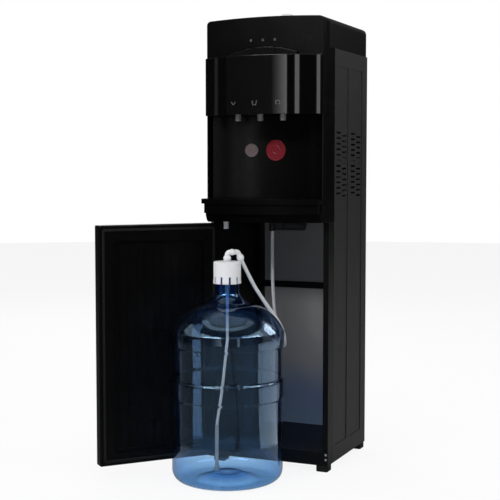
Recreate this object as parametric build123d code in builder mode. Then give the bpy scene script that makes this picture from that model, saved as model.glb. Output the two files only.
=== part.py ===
"""Bottom-load water cooler: tall black cabinet, open bottle door, bottle with its suction probe.

Millimetres, +Z up. The origin is on the floor, under the middle of the cabinet's footprint.
-Y is the front, +X is the right-hand side of someone facing the taps.
"""
import os
from math import cos, pi, radians, sin, tan

from build123d import *

# ---------------------------------------------------------------- driving dimensions
cabinet_width = 308.0
cabinet_depth = 284.0  # front jamb face to rear panel
cabinet_height = 1091.0  # at the side edges of the top
crown_rise = 4.0  # how much higher the middle of the top stands
top_corner = 14.0
sheet = 1.2  # steel panels
skin = 2.5  # moulded covers
joint_gap = 0.3  # between neighbouring pieces
face_gap = 0.2  # between pieces laid face to face

foot_height = 16.0
foot_size = 30.0
base_top_z = 49.0
base_wall = 3.0

door_bottom_z = 24.0
door_top_gap = 6.0  # under the deck
door_side_gap = 0.5
door_thickness = 30.0
door_back_gap = 2.0  # door liner to jamb face, filled by the gasket
hinge_axis_inset = 8.0  # from the cabinet's left side
hinge_axis_forward = 17.5  # from the jamb face
hinge_pin_radius = 3.0
hinge_running_gap = 0.05
hinge_plate = 3.0
door_open_angle = 130.3  # how far the door stands open

deck_sheet = 2.0
machine_height = 484.0  # deck underside to the cabinet's top
shelf_height = 20.0
tray_height = 35.0
hood_height = 138.0
hood_below_top = 90.0  # hood's top edge below the cabinet's top
cover_height = 69.0

fascia_forward = 32.0  # upper front stands this far in front of the jamb face
fascia_wing_depth = 38.0  # wings and jambs run this far back from the jamb face
fascia_bow = 9.0
fascia_wall = 3.0
wing_thickness = 6.0
jamb_width = 13.5
jamb_wall = 2.2
liner = 2.0

hood_inset = 4.0  # hood's end inside the cabinet's side
hood_end_forward = 46.0
hood_centre_forward = 92.0
tray_inset = 2.0
tray_end_forward = 66.0
tray_centre_forward = 112.0
tray_wall = 2.4
rim_lip = 5.0
rim_lip_height = 12.0
grille_thickness = 3.0
grille_slot = 4.0
grille_pitch = 9.0
shelf_end_forward = 46.0
shelf_centre_forward = 92.0
bay_end_back = -9.0  # behind the jamb face
bay_centre_back = 42.0

tap_pitch = 58.0
tap_forward = 55.0  # nozzle line in front of the jamb face
tap_radius = 7.0
tap_bore_radius = 4.0
tap_drop = 15.0
tap_height = 34.0
button_pitch = 58.0
button_gap = 0.8
button_depth = 15.0
button_travel = 4.0
arch_half_width = 92.0
arch_rise = 24.0
arch_end_rise = 8.0
lens_pitch = 31.0
lens_below_top = 51.0
lens_radius = 3.2
board_forward = 14.0

emboss_first_back = 92.0  # middle of the front pressed field, behind the jamb face
emboss_pitch = 108.0
emboss_width = 88.0
emboss_depth = 1.6
emboss_margin = 40.0
vent_rows = 12
vent_pitch = 13.4
vent_above_deck = 215.0
vent_length = 32.0
vent_height = 4.6
vent_column_pitch = 42.0

bottle_from_hinge = 99.0  # bottle axis to the right of the hinge axis
bottle_forward = 142.0  # bottle axis in front of the jamb face
bottle_radius = 131.0
bottle_ring = 3.5
bottle_wall = 1.8
bottle_corner = 33.0
shoulder_z = 353.0
neck_radius = 28.0
neck_base_z = 446.0
neck_top_z = 508.0
dome_mid_radius = 111.0
dome_mid_rise = 35.0  # above the shoulder
dome_top_radius = 64.0
dome_top_rise = 64.0
neck_foot_radius = 40.0
neck_foot_rise = 74.0
punt_radius = 32.0
punt_height = 16.0
cap_radius = 32.5
cap_skirt = 42.0  # how far it reaches down over the neck
cap_above_neck = 10.0
cap_running_gap = 0.5
probe_heading = 53.0  # heading of the probe's outlet in plan, in degrees
dip_tube_radius = 3.4
strainer_radius = 4.2
strainer_top_z = 131.0

hose_radius = 4.6
hose_drop_x = -59.0
hose_drop_back = 160.0  # behind the jamb face
hose_below_deck = 33.0

# ---------------------------------------------------------------- derived places
half_width = cabinet_width / 2
deck_z = cabinet_height - machine_height
door_top_z = deck_z - door_top_gap
tray_bottom_z = deck_z + shelf_height
tray_top_z = tray_bottom_z + tray_height
hood_top_z = cabinet_height - hood_below_top
hood_bottom_z = hood_top_z - hood_height
cover_seam_z = cabinet_height - cover_height
lens_z = cabinet_height - lens_below_top
vent_top_z = deck_z + vent_above_deck
hood_half_width = half_width - hood_inset
tray_half_width = half_width - tray_inset
cap_top_z = neck_top_z + cap_above_neck
cap_bottom_z = neck_top_z - cap_skirt
hose_top_z = deck_z - hose_below_deck
front_y = -cabinet_depth / 2
rear_y = cabinet_depth / 2
fascia_y = front_y - fascia_forward
wing_back_y = front_y + fascia_wing_depth
wing_inner_x = half_width - wing_thickness
inner_x = half_width - jamb_width
wing_front_y = fascia_y - 1.0  # hood, shelf and tray stand in front of the bowed wing ends
panel_inner_x = half_width - sheet
pressed_inner_x = half_width - emboss_depth - sheet - joint_gap
panel_top_z = cover_seam_z - joint_gap
rear_inner_y = rear_y - sheet - joint_gap
hinge_x = -half_width + hinge_axis_inset
hinge_y = front_y - hinge_axis_forward
door_half_width = half_width - door_side_gap
door_back_y = front_y - door_back_gap
door_face_y = door_back_y - door_thickness
bottle_x = hinge_x + bottle_from_hinge
bottle_y = front_y - bottle_forward
tap_y = front_y - tap_forward
tap_xs = (-tap_pitch, 0.0, tap_pitch)
tap_names = ("cold", "room", "hot")
hinge_line = Axis((hinge_x, hinge_y, 0), (0, 0, 1))

os.makedirs("parts", exist_ok=True)


def save(piece, name):
    """Label the finished piece and write its STEP file."""
    piece.part.label = name
    export_step(piece.part, f"parts/{name}.step")


def save_on_open_door(piece, name):
    """Swing a piece built on the closed door out to where the door stands, then save it."""
    piece.part = piece.part.rotate(hinge_line, -door_open_angle)
    save(piece, name)


def arc_y(x, half, end_y, centre_y):
    """Y at x on the circular arc through (-half, end_y), (0, centre_y) and (half, end_y)."""
    sagitta = abs(centre_y - end_y)
    radius = (half**2 + sagitta**2) / (2 * sagitta)
    drop = radius - (radius**2 - x**2) ** 0.5
    return centre_y + (drop if end_y > centre_y else -drop)


def bowed_outline(half, end_y, centre_y, back_y):
    """Closed plan outline: a bowed front between two straight sides and a straight back."""
    ThreePointArc((-half, end_y), (0, centre_y), (half, end_y))
    Polyline((half, end_y), (half, back_y), (-half, back_y), (-half, end_y))


def crowned_outline(plane_y):
    """Front-view outline of the cabinet, with its crown and rounded corners, at a given depth."""
    with BuildSketch(Plane.XZ.offset(-plane_y)) as outline:
        with BuildLine():
            top = ThreePointArc(
                (-half_width, cabinet_height),
                (0, cabinet_height + crown_rise),
                (half_width, cabinet_height),
            )
            Polyline(top @ 1, (half_width, 0), (-half_width, 0), top @ 0)
        make_face()
        fillet(outline.vertices().group_by(Axis.Y)[-1], top_corner)
    return outline.sketch


# ---------------------------------------------------------------- base and feet
base_back_half = panel_inner_x - joint_gap

with BuildPart() as base_pan:
    with BuildSketch(Plane.XY.offset(foot_height)) as base_outline:
        Polygon(
            (-half_width, front_y),
            (half_width, front_y),
            (half_width, wing_back_y),
            (base_back_half, wing_back_y),
            (base_back_half, rear_inner_y),
            (-base_back_half, rear_inner_y),
            (-base_back_half, wing_back_y),
            (-half_width, wing_back_y),
            align=None,
        )
    extrude(amount=base_top_z - foot_height)
    with BuildSketch(Plane.XY.offset(foot_height)):
        add(base_outline.sketch.face())
        offset(amount=-base_wall, mode=Mode.REPLACE)
    extrude(amount=base_top_z - foot_height - base_wall, mode=Mode.SUBTRACT)
    with BuildSketch(Plane.XY.offset(foot_height)):
        with GridLocations(80.0, 0, 3, 1):
            Rectangle(base_wall, cabinet_depth - 4 * base_wall)
    extrude(amount=base_top_z - foot_height - base_wall / 2)
    fillet(base_pan.edges().filter_by(Axis.X).group_by(Axis.Y)[0].sort_by(Axis.Z)[-1], 2.0)
save(base_pan, "base_pan")

foot_x = half_width - foot_size / 2 - sheet
foot_y = cabinet_depth / 2 - foot_size / 2 - sheet
with BuildPart() as feet:
    with BuildSketch():
        with GridLocations(2 * foot_x, 2 * foot_y, 2, 2):
            RectangleRounded(foot_size, foot_size, 4.0)
    extrude(amount=foot_height)
    chamfer(feet.faces().group_by(Axis.Z)[0].edges(), 1.5)
save(feet, "feet")

# ---------------------------------------------------------------- side panels
panel_front_y = wing_back_y + joint_gap
panel_depth = rear_y - panel_front_y
panel_mid_y = (rear_y + panel_front_y) / 2
panel_height = panel_top_z - foot_height
field_height = panel_height - 2 * emboss_margin
field_mid_z = foot_height + panel_height / 2
field_ys = (front_y + emboss_first_back, front_y + emboss_first_back + emboss_pitch)
front_flange = 9.0


def side_panel(side):
    """Pressed steel side with two recessed fields, slots and a bent front flange."""
    outer = Plane.YZ.offset(side * half_width)
    with BuildPart() as panel:
        with BuildSketch(Plane.XY.offset(foot_height)):
            with Locations((side * (half_width - sheet / 2), panel_mid_y)):
                Rectangle(sheet, panel_depth)
        extrude(amount=panel_height)
        with BuildSketch(Plane.XY.offset(base_top_z + joint_gap)):
            with Locations((side * (half_width - front_flange / 2), panel_front_y + sheet / 2)):
                Rectangle(front_flange, sheet)
        extrude(amount=panel_top_z - base_top_z - joint_gap)
        with BuildSketch(outer):
            with Locations(*[(field_y, field_mid_z) for field_y in field_ys]):
                RectangleRounded(emboss_width + 2 * sheet, field_height + 2 * sheet, 7.0)
        extrude(amount=-side * (sheet + emboss_depth))
        with BuildSketch(outer):
            with Locations(*[(field_y, field_mid_z) for field_y in field_ys]):
                RectangleRounded(emboss_width, field_height, 6.0)
        extrude(amount=-side * emboss_depth, mode=Mode.SUBTRACT)
        slots = []
        for field_y in field_ys:
            for column in (0, 1):
                slot_y = field_y + (column - 0.5) * vent_column_pitch
                first_z = vent_top_z - column * vent_pitch / 2
                slots += [(slot_y, first_z - row * vent_pitch) for row in range(vent_rows)]
        with BuildSketch(outer):
            with Locations(*slots):
                SlotOverall(vent_length, vent_height)
        extrude(amount=-side * (2 * sheet + emboss_depth), mode=Mode.SUBTRACT)
    return panel


for side, side_name in ((-1, "left"), (1, "right")):
    save(side_panel(side), f"side_panel_{side_name}")

# ---------------------------------------------------------------- rear panel
switch_x = -70.0
switch_below_top = 106.0
switch_z = cabinet_height - switch_below_top
switch_plate_width = 62.0
switch_plate_height = 36.0
switch_plate_thickness = 2.0
rocker_width = 18.0
rocker_height = 24.0
rocker_pitch = 26.0
drain_x = 90.0
drain_above_deck = 48.0
drain_z = deck_z + drain_above_deck
drain_radius = 9.0
gland_x = 54.0 - cabinet_width / 2
gland_radius = 8.0
rear_slots = 8
rear_slot_pitch = 16.0
rear_slot_above_deck = 93.0
rear_slot_z = deck_z + rear_slot_above_deck
rear_slot_length = 150.0
rear_slot_height = 5.0

with BuildPart() as rear_panel:
    with BuildSketch(Plane.XY.offset(foot_height)):
        with Locations((0, rear_y - sheet / 2)):
            Rectangle(2 * (panel_inner_x - joint_gap), sheet)
    extrude(amount=panel_height)
    with BuildSketch(Plane.XZ.offset(-rear_y)):
        with Locations((switch_x, switch_z)):
            Rectangle(switch_plate_width - 4.0, switch_plate_height - 4.0)
        with Locations((drain_x, drain_z)):
            Circle(drain_radius + joint_gap)
        with Locations((gland_x, drain_z)):
            Circle(gland_radius + joint_gap)
        with Locations(*[(0, rear_slot_z + row * rear_slot_pitch) for row in range(rear_slots)]):
            SlotOverall(rear_slot_length, rear_slot_height)
    extrude(amount=3 * sheet, both=True, mode=Mode.SUBTRACT)
save(rear_panel, "rear_panel")

# ---------------------------------------------------------------- door jambs and liners
jamb_height = deck_z - 2 * joint_gap - base_top_z
compartment_back_y = rear_inner_y - 4.0
liner_height = deck_z - base_top_z - 2 * face_gap
duct_width = 10.0
duct_depth = 30.0


with BuildPart() as door_jambs:
    with BuildSketch(Plane.XY.offset(base_top_z + joint_gap)):
        with Locations((0, front_y + fascia_wing_depth / 2)):
            with GridLocations(cabinet_width - jamb_width, 0, 2, 1):
                Rectangle(jamb_width, fascia_wing_depth)
            with GridLocations(cabinet_width - jamb_width, 0, 2, 1):
                Rectangle(
                    jamb_width - 2 * jamb_wall, fascia_wing_depth - 2 * jamb_wall, mode=Mode.SUBTRACT
                )
    extrude(amount=jamb_height)
save(door_jambs, "door_jambs")

liner_front_y = wing_back_y + joint_gap
with BuildPart() as compartment_liners:
    with BuildSketch(Plane.XY.offset(base_top_z + face_gap)):
        with Locations((0, (liner_front_y + compartment_back_y) / 2)):
            with GridLocations(2 * inner_x + liner, 0, 2, 1):
                Rectangle(liner, compartment_back_y - liner_front_y)
    extrude(amount=liner_height)
save(compartment_liners, "compartment_liners")

with BuildPart() as corner_duct:
    with BuildSketch(Plane.XY.offset(base_top_z + face_gap)):
        with Locations((-inner_x + face_gap, compartment_back_y)):
            Rectangle(duct_width, duct_depth, align=(Align.MIN, Align.MAX))
    extrude(amount=liner_height)
save(corner_duct, "corner_duct")

back_wall_left_x = -inner_x + duct_width + 2 * face_gap
with BuildPart() as inner_back_wall:
    with BuildSketch(Plane.XY.offset(base_top_z + face_gap)):
        with Locations((back_wall_left_x, compartment_back_y)):
            Rectangle(
                inner_x - face_gap - back_wall_left_x, liner, align=(Align.MIN, Align.MAX)
            )
    extrude(amount=liner_height)
save(inner_back_wall, "inner_back_wall")

rail_below_deck = 190.0
rail_z = deck_z - rail_below_deck
rail_depth = 5.0
rail_height = 17.0
with BuildPart() as back_rail:
    with BuildSketch(Plane.XY.offset(rail_z)):
        with Locations((back_wall_left_x, compartment_back_y - liner - face_gap)):
            Rectangle(
                inner_x - face_gap - back_wall_left_x, rail_depth, align=(Align.MIN, Align.MAX)
            )
    extrude(amount=rail_height)
save(back_rail, "back_rail")

# ---------------------------------------------------------------- deck
deck_front_y = front_y + joint_gap
deck_front_half = half_width - front_flange - joint_gap
with BuildPart() as deck:
    with BuildSketch(Plane.XY.offset(deck_z)):
        Polygon(
            (-deck_front_half, deck_front_y),
            (deck_front_half, deck_front_y),
            (deck_front_half, wing_back_y + 2.0),
            (pressed_inner_x, wing_back_y + 2.0),
            (pressed_inner_x, rear_inner_y),
            (-pressed_inner_x, rear_inner_y),
            (-pressed_inner_x, wing_back_y + 2.0),
            (-deck_front_half, wing_back_y + 2.0),
            align=None,
        )
    extrude(amount=deck_sheet)
save(deck, "deck")
deck_top_z = deck_z + deck_sheet

# ---------------------------------------------------------------- upper fascia
arch_z = hood_top_z + joint_gap


def arch_face(inset):
    """Front-view outline of the button recess, its foot on the hood's top, drawn inset."""
    with BuildSketch() as arch:
        with BuildLine():
            ThreePointArc(
                (-arch_half_width, arch_z + arch_end_rise),
                (0, arch_z + arch_rise),
                (arch_half_width, arch_z + arch_end_rise),
            )
            Polyline(
                (arch_half_width, arch_z + arch_end_rise),
                (arch_half_width, arch_z),
                (-arch_half_width, arch_z),
                (-arch_half_width, arch_z + arch_end_rise),
            )
        make_face()
        if inset:
            offset(amount=-inset, kind=Kind.INTERSECTION, mode=Mode.REPLACE)
    return arch.sketch


with BuildPart() as upper_fascia:
    with BuildSketch(Plane.XY.offset(deck_z)):
        with BuildLine():
            bowed_outline(half_width, fascia_y, fascia_y - fascia_bow, wing_back_y)
        make_face()
    extrude(amount=cabinet_height + crown_rise - deck_z)
    fillet(upper_fascia.edges().filter_by(Axis.Z).group_by(Axis.Y)[0], 6.0)
    extrude(crowned_outline(wing_back_y), amount=3 * fascia_wing_depth, mode=Mode.INTERSECT)
    with BuildSketch(Plane.XY.offset(deck_z)):
        with BuildLine():
            bowed_outline(
                wing_inner_x,
                fascia_y + fascia_wall,
                fascia_y - fascia_bow + fascia_wall,
                wing_back_y,
            )
        make_face()
    extrude(amount=cabinet_height - 2 * fascia_wall - deck_z, mode=Mode.SUBTRACT)
    with BuildSketch(Plane.XZ.offset(-wing_back_y)):
        with Locations((0, (deck_z + arch_z) / 2)):
            Rectangle(2 * wing_inner_x, arch_z - deck_z)
        add(arch_face(0))
    extrude(amount=2 * fascia_wing_depth + fascia_forward, mode=Mode.SUBTRACT)
    with BuildSketch(Plane.XY.offset(cover_seam_z)):
        with Locations((0, front_y)):
            Rectangle(cabinet_width, fascia_wing_depth, align=(Align.CENTER, Align.MIN))
    extrude(amount=cabinet_height + crown_rise - cover_seam_z, mode=Mode.SUBTRACT)
    with BuildSketch(Plane.XZ.offset(-front_y)):
        with Locations(*[((index - 1) * lens_pitch, lens_z) for index in range(3)]):
            Circle(lens_radius + face_gap)
    extrude(amount=2 * fascia_forward, mode=Mode.SUBTRACT)
save(upper_fascia, "upper_fascia")

with BuildPart() as indicator_lenses:
    with BuildSketch(Plane.XZ.offset(-(fascia_y + 0.5))):
        with Locations(*[((index - 1) * lens_pitch, lens_z) for index in range(3)]):
            Circle(lens_radius)
    extrude(amount=fascia_bow + 0.9)
save(indicator_lenses, "indicator_lenses")

# ---------------------------------------------------------------- top cover and its cap
with BuildPart() as top_cover:
    with BuildSketch(Plane.XY.offset(cover_seam_z)):
        with Locations((0, front_y + joint_gap)):
            Rectangle(
                cabinet_width, cabinet_depth - joint_gap, align=(Align.CENTER, Align.MIN)
            )
    extrude(amount=cabinet_height + crown_rise - cover_seam_z)
    extrude(crowned_outline(rear_y), amount=cabinet_depth, mode=Mode.INTERSECT)
    rear_top = top_cover.faces().filter_by(Plane.XZ).sort_by(Axis.Y)[-1].edges()
    fillet(rear_top.group_by(Axis.Z)[-1], 12.0)
    with BuildSketch(Plane.XY.offset(cover_seam_z)):
        with Locations((0, front_y)):
            Rectangle(
                cabinet_width - 4 * skin, cabinet_depth - 2 * skin, align=(Align.CENTER, Align.MIN)
            )
    extrude(amount=cabinet_height - 3 * skin - cover_seam_z, mode=Mode.SUBTRACT)
save(top_cover, "top_cover")

vent_cap_x = 20.0
vent_cap_back = 60.0  # behind the jamb face
vent_cap_y = front_y + vent_cap_back
vent_cap_radius = 19.0
vent_cap_height = 16.0
with BuildPart() as top_vent_cap:
    with Locations((vent_cap_x, vent_cap_y, cabinet_height + crown_rise + face_gap)):
        Cylinder(vent_cap_radius, vent_cap_height, align=(Align.CENTER, Align.CENTER, Align.MIN))
    fillet(top_vent_cap.edges().filter_by(GeomType.CIRCLE).sort_by(Axis.Z)[-1], 9.0)
save(top_vent_cap, "top_vent_cap")

# ---------------------------------------------------------------- dispensing bay
bay_half_width = wing_inner_x - joint_gap
bay_end_y = front_y + bay_end_back
bay_centre_y = front_y + bay_centre_back
bay_wall_rise = 82.0  # bay wall's top above the hood's underside
bay_top_z = hood_bottom_z + bay_wall_rise
bay_floor_z = tray_top_z + joint_gap
bay_front_y = wing_front_y + joint_gap

with BuildPart() as dispensing_bay:
    with BuildSketch(Plane.XY.offset(bay_floor_z)):
        with BuildLine():
            ThreePointArc(
                (-bay_half_width, bay_end_y), (0, bay_centre_y), (bay_half_width, bay_end_y)
            )
            Line((bay_half_width, bay_end_y), (bay_half_width, bay_end_y + skin))
            ThreePointArc(
                (bay_half_width, bay_end_y + skin),
                (0, bay_centre_y + skin),
                (-bay_half_width, bay_end_y + skin),
            )
            Line((-bay_half_width, bay_end_y + skin), (-bay_half_width, bay_end_y))
        make_face()
    extrude(amount=bay_top_z - bay_floor_z)
    with BuildSketch(Plane.XY.offset(hood_bottom_z)):
        with BuildLine():
            ThreePointArc(
                (-bay_half_width, bay_end_y + skin / 2),
                (0, bay_centre_y + skin / 2),
                (bay_half_width, bay_end_y + skin / 2),
            )
            Polyline(
                (bay_half_width, bay_end_y + skin / 2),
                (bay_half_width, bay_front_y),
                (-bay_half_width, bay_front_y),
                (-bay_half_width, bay_end_y + skin / 2),
            )
        make_face()
    extrude(amount=skin)
save(dispensing_bay, "dispensing_bay")

badge_thickness = 0.8
badge_below_hood = 83.0
badge_z = hood_bottom_z - badge_below_hood
wall_badges = {"round_badge_large": (0.0, 26.0), "round_badge_small": (-62.0, 16.5)}

for badge_name, (badge_x, badge_radius) in wall_badges.items():
    with BuildPart() as badge:
        with BuildSketch(Plane.XY.offset(badge_z - badge_radius)):
            with BuildLine():
                ThreePointArc(
                    (-bay_half_width, bay_end_y - face_gap / 2),
                    (0, bay_centre_y - face_gap / 2),
                    (bay_half_width, bay_end_y - face_gap / 2),
                )
                Line(
                    (bay_half_width, bay_end_y - face_gap / 2),
                    (bay_half_width, bay_end_y - face_gap / 2 - badge_thickness),
                )
                ThreePointArc(
                    (bay_half_width, bay_end_y - face_gap / 2 - badge_thickness),
                    (0, bay_centre_y - face_gap / 2 - badge_thickness),
                    (-bay_half_width, bay_end_y - face_gap / 2 - badge_thickness),
                )
                Line(
                    (-bay_half_width, bay_end_y - face_gap / 2 - badge_thickness),
                    (-bay_half_width, bay_end_y - face_gap / 2),
                )
            make_face()
        extrude(amount=2 * badge_radius)
        with BuildSketch(Plane.XZ.offset(-bay_centre_y - 2 * skin)):
            with Locations((badge_x, badge_z)):
                Circle(badge_radius)
        extrude(amount=cabinet_depth, mode=Mode.INTERSECT)
    save(badge, badge_name)

# ---------------------------------------------------------------- tap hood
hood_end_y = front_y - hood_end_forward
hood_centre_y = front_y - hood_centre_forward
hood_back_y = wing_front_y

with BuildPart() as tap_hood:
    with BuildSketch(Plane.XY.offset(hood_bottom_z)):
        with BuildLine():
            bowed_outline(hood_half_width, hood_end_y, hood_centre_y, hood_back_y)
        make_face()
    extrude(amount=hood_top_z - hood_bottom_z)
    fillet(tap_hood.edges().filter_by(Axis.Z).group_by(Axis.Y)[0], 4.0)
    fillet(tap_hood.faces().sort_by(Axis.Z)[-1].edges().filter_by(GeomType.CIRCLE), 1.5)
    with BuildSketch(Plane.XY.offset(hood_bottom_z + skin)):
        with BuildLine():
            bowed_outline(
                hood_half_width - skin, hood_end_y + skin, hood_centre_y + skin, hood_back_y
            )
        make_face()
    extrude(amount=hood_top_z - hood_bottom_z - 2 * skin, mode=Mode.SUBTRACT)
    with BuildSketch(Plane.XY.offset(hood_bottom_z)):
        with Locations(*[(tap_x, tap_y) for tap_x in tap_xs]):
            Circle(tap_radius + joint_gap)
    extrude(amount=2 * skin, mode=Mode.SUBTRACT)
save(tap_hood, "tap_hood")

# ---------------------------------------------------------------- taps, valves and water lines
tap_top_z = hood_bottom_z - tap_drop + tap_height
valve_size = 22.0
valve_height = 26.0
tap_collar_radius = tap_radius + 3.0

tap_spots = [(tap_x, tap_y) for tap_x in tap_xs]

with BuildPart() as tap_nozzles:
    with BuildSketch(Plane.XY.offset(hood_bottom_z - tap_drop)):
        with Locations(*tap_spots):
            Circle(tap_radius)
    extrude(amount=tap_height)
    chamfer(tap_nozzles.faces().group_by(Axis.Z)[0].edges(), 0.8)
    with BuildSketch(Plane.XY.offset(hood_bottom_z + skin + face_gap)):
        with Locations(*tap_spots):
            Circle(tap_collar_radius)
    extrude(amount=skin)
    with BuildSketch(Plane.XY.offset(hood_bottom_z - tap_drop)):
        with Locations(*tap_spots):
            Circle(tap_bore_radius)
    extrude(amount=tap_height, mode=Mode.SUBTRACT)
save(tap_nozzles, "tap_nozzles")

with BuildPart() as tap_valves:
    with BuildSketch(Plane.XY.offset(tap_top_z + face_gap)):
        with Locations(*tap_spots):
            RectangleRounded(valve_size, valve_size, 2.0)
    extrude(amount=valve_height)
save(tap_valves, "tap_valves")

# ---------------------------------------------------------------- push buttons and board
key_face_y = fascia_y - fascia_bow + 2.0
key_back_y = key_face_y + button_depth
stem_radius = 3.0
board_y = front_y - board_forward
board_half_width = 86.0
board_height = 58.0
board_sheet = 1.6
switch_size = 7.0
switch_depth = 2.2
post_radius = 3.0
chip_width = 18.0
chip_height = 14.0
chip_depth = 9.0
chip_spots = ((-30.0, 26.0), (35.0, 36.0))  # across, and above the board's lower edge
board_bottom_z = hood_top_z + 3.0
board_top_z = board_bottom_z + board_height
stem_tip_y = board_y - switch_depth - joint_gap - button_travel
stem_z = arch_z + 8.0

for index, tap_name in enumerate(tap_names):
    key_x = (index - 1) * button_pitch
    with BuildPart() as key:
        with BuildSketch(Plane.XZ.offset(-key_back_y)):
            add(arch_face(button_gap))
            with Locations((key_x, arch_z)):
                Rectangle(
                    button_pitch - 2 * button_gap,
                    arch_rise,
                    align=(Align.CENTER, Align.MIN),
                    mode=Mode.INTERSECT,
                )
        extrude(amount=button_depth)
        fillet(key.faces().sort_by(Axis.Y)[0].edges(), 1.2)
        with BuildSketch(Plane.XZ.offset(-stem_tip_y)):
            with Locations((key_x, stem_z)):
                Circle(stem_radius)
        extrude(amount=stem_tip_y - key_back_y + 1.0)
    save(key, f"push_button_{tap_name}")

board_post_x = board_half_width - 2 * post_radius
board_post_z = board_top_z - 8.0
with BuildPart() as control_board:
    with BuildSketch(Plane.XZ.offset(-board_y)):
        with Locations((0, (board_bottom_z + board_top_z) / 2)):
            Rectangle(2 * board_half_width, board_top_z - board_bottom_z)
    extrude(amount=-board_sheet)
    with BuildSketch(Plane.XZ.offset(-board_y)):
        with Locations(*[((index - 1) * button_pitch, stem_z) for index in range(3)]):
            Rectangle(switch_size, switch_size)
    extrude(amount=switch_depth)
    with BuildSketch(Plane.XZ.offset(-board_y)):
        with Locations((-board_post_x, board_post_z), (board_post_x, board_post_z)):
            Circle(post_radius)
    post_front_y = arc_y(
        board_post_x + post_radius,
        wing_inner_x,
        fascia_y + fascia_wall,
        fascia_y - fascia_bow + fascia_wall,
    )
    extrude(amount=board_y - post_front_y - face_gap)
    with BuildSketch(Plane.XZ.offset(-board_y - board_sheet)):
        with Locations(*[(chip_x, board_bottom_z + rise) for chip_x, rise in chip_spots]):
            Rectangle(chip_width, chip_height)
    extrude(amount=-chip_depth)
save(control_board, "control_board")

# ---------------------------------------------------------------- shelf, drip tray and grille
shelf_bottom_z = deck_z + face_gap
shelf_top_z = tray_bottom_z - joint_gap
tray_back_end_y = bay_end_y - joint_gap
tray_back_centre_y = bay_centre_y - joint_gap


def tray_outline(half, end_y, centre_y, inset):
    """Plan outline of shelf or tray: bowed front, waist between the wings, hollow-curved back."""
    waist = wing_inner_x - 2 * joint_gap - inset
    waist_y = wing_front_y - inset
    back_end_y = tray_back_end_y - inset
    with BuildSketch() as outline:
        with BuildLine():
            ThreePointArc((-half, end_y), (0, centre_y), (half, end_y))
            Polyline((half, end_y), (half, waist_y), (waist, waist_y), (waist, back_end_y))
            ThreePointArc(
                (waist, back_end_y), (0, tray_back_centre_y - inset), (-waist, back_end_y)
            )
            Polyline((-waist, back_end_y), (-waist, waist_y), (-half, waist_y), (-half, end_y))
        make_face()
    return outline.sketch


with BuildPart() as tray_shelf:
    with BuildSketch(Plane.XY.offset(shelf_bottom_z)):
        add(tray_outline(hood_half_width, front_y - shelf_end_forward, front_y - shelf_centre_forward, 0.0))
    extrude(amount=shelf_top_z - shelf_bottom_z)
    shelf_nose = tray_shelf.faces().group_by(Axis.Z)[0].edges().filter_by(GeomType.CIRCLE)
    chamfer(shelf_nose.sort_by(Axis.Y)[0], length=13.0, length2=6.0)
    with BuildSketch(Plane.XY.offset(deck_top_z + face_gap)):
        with Locations((0, deck_front_y - joint_gap)):
            Rectangle(cabinet_width, cabinet_depth, align=(Align.CENTER, Align.MIN))
    extrude(amount=-(deck_sheet + 2 * joint_gap), mode=Mode.SUBTRACT)
save(tray_shelf, "tray_shelf")

tray_end_y = front_y - tray_end_forward
tray_centre_y = front_y - tray_centre_forward
grille_z = tray_top_z - 1.0 - grille_thickness
basin_wall = tray_wall + 3.0

with BuildPart() as drip_tray:
    with BuildSketch(Plane.XY.offset(tray_bottom_z)):
        add(tray_outline(tray_half_width - rim_lip, tray_end_y + rim_lip, tray_centre_y + rim_lip, 0.0))
    extrude(amount=tray_top_z - tray_bottom_z)
    with BuildSketch(Plane.XY.offset(tray_top_z - rim_lip_height)):
        add(tray_outline(tray_half_width, tray_end_y, tray_centre_y, 0.0))
    extrude(amount=rim_lip_height)
    with BuildSketch(Plane.XY.offset(grille_z)):
        add(
            tray_outline(
                tray_half_width - rim_lip - tray_wall,
                tray_end_y + rim_lip + tray_wall,
                tray_centre_y + rim_lip + tray_wall,
                tray_wall,
            )
        )
    extrude(amount=grille_thickness + 2.0, mode=Mode.SUBTRACT)
    with BuildSketch(Plane.XY.offset(tray_bottom_z + tray_wall)):
        add(
            tray_outline(
                tray_half_width - rim_lip - basin_wall,
                tray_end_y + rim_lip + basin_wall,
                tray_centre_y + rim_lip + basin_wall,
                basin_wall,
            )
        )
    extrude(amount=grille_z - tray_bottom_z, mode=Mode.SUBTRACT)
save(drip_tray, "drip_tray")

grille_wall = tray_wall + 2 * joint_gap
grille_slots = 25
grille_half_slots = (grille_slots - 1) / 2
with BuildPart() as drip_grille:
    with BuildSketch(Plane.XY.offset(grille_z + face_gap)):
        add(
            tray_outline(
                tray_half_width - rim_lip - grille_wall,
                tray_end_y + rim_lip + grille_wall,
                tray_centre_y + rim_lip + grille_wall,
                grille_wall,
            )
        )
        for index in range(grille_slots):
            slot_x = (index - grille_half_slots) * grille_pitch
            slot_front = 10.0 + arc_y(slot_x, tray_half_width, tray_end_y, tray_centre_y) + rim_lip
            slot_back = arc_y(slot_x, bay_half_width, tray_back_end_y, tray_back_centre_y) - 12.0
            with Locations((slot_x, (slot_front + slot_back) / 2)):
                Rectangle(grille_slot, slot_back - slot_front, mode=Mode.SUBTRACT)
    extrude(amount=grille_thickness - face_gap)
save(drip_grille, "drip_grille")

# ---------------------------------------------------------------- hinges
hinge_bracket_width = 22.0
hinge_bracket_depth = 26.0
hinge_flange = 3.0
lower_plate_z = door_bottom_z - 2.0 - hinge_plate
upper_plate_z = shelf_bottom_z - face_gap - hinge_plate
pin_engagement = 11.0

bracket_x = hinge_x + hinge_bracket_width / 2 - hinge_axis_inset
bracket_y = front_y - face_gap

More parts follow.
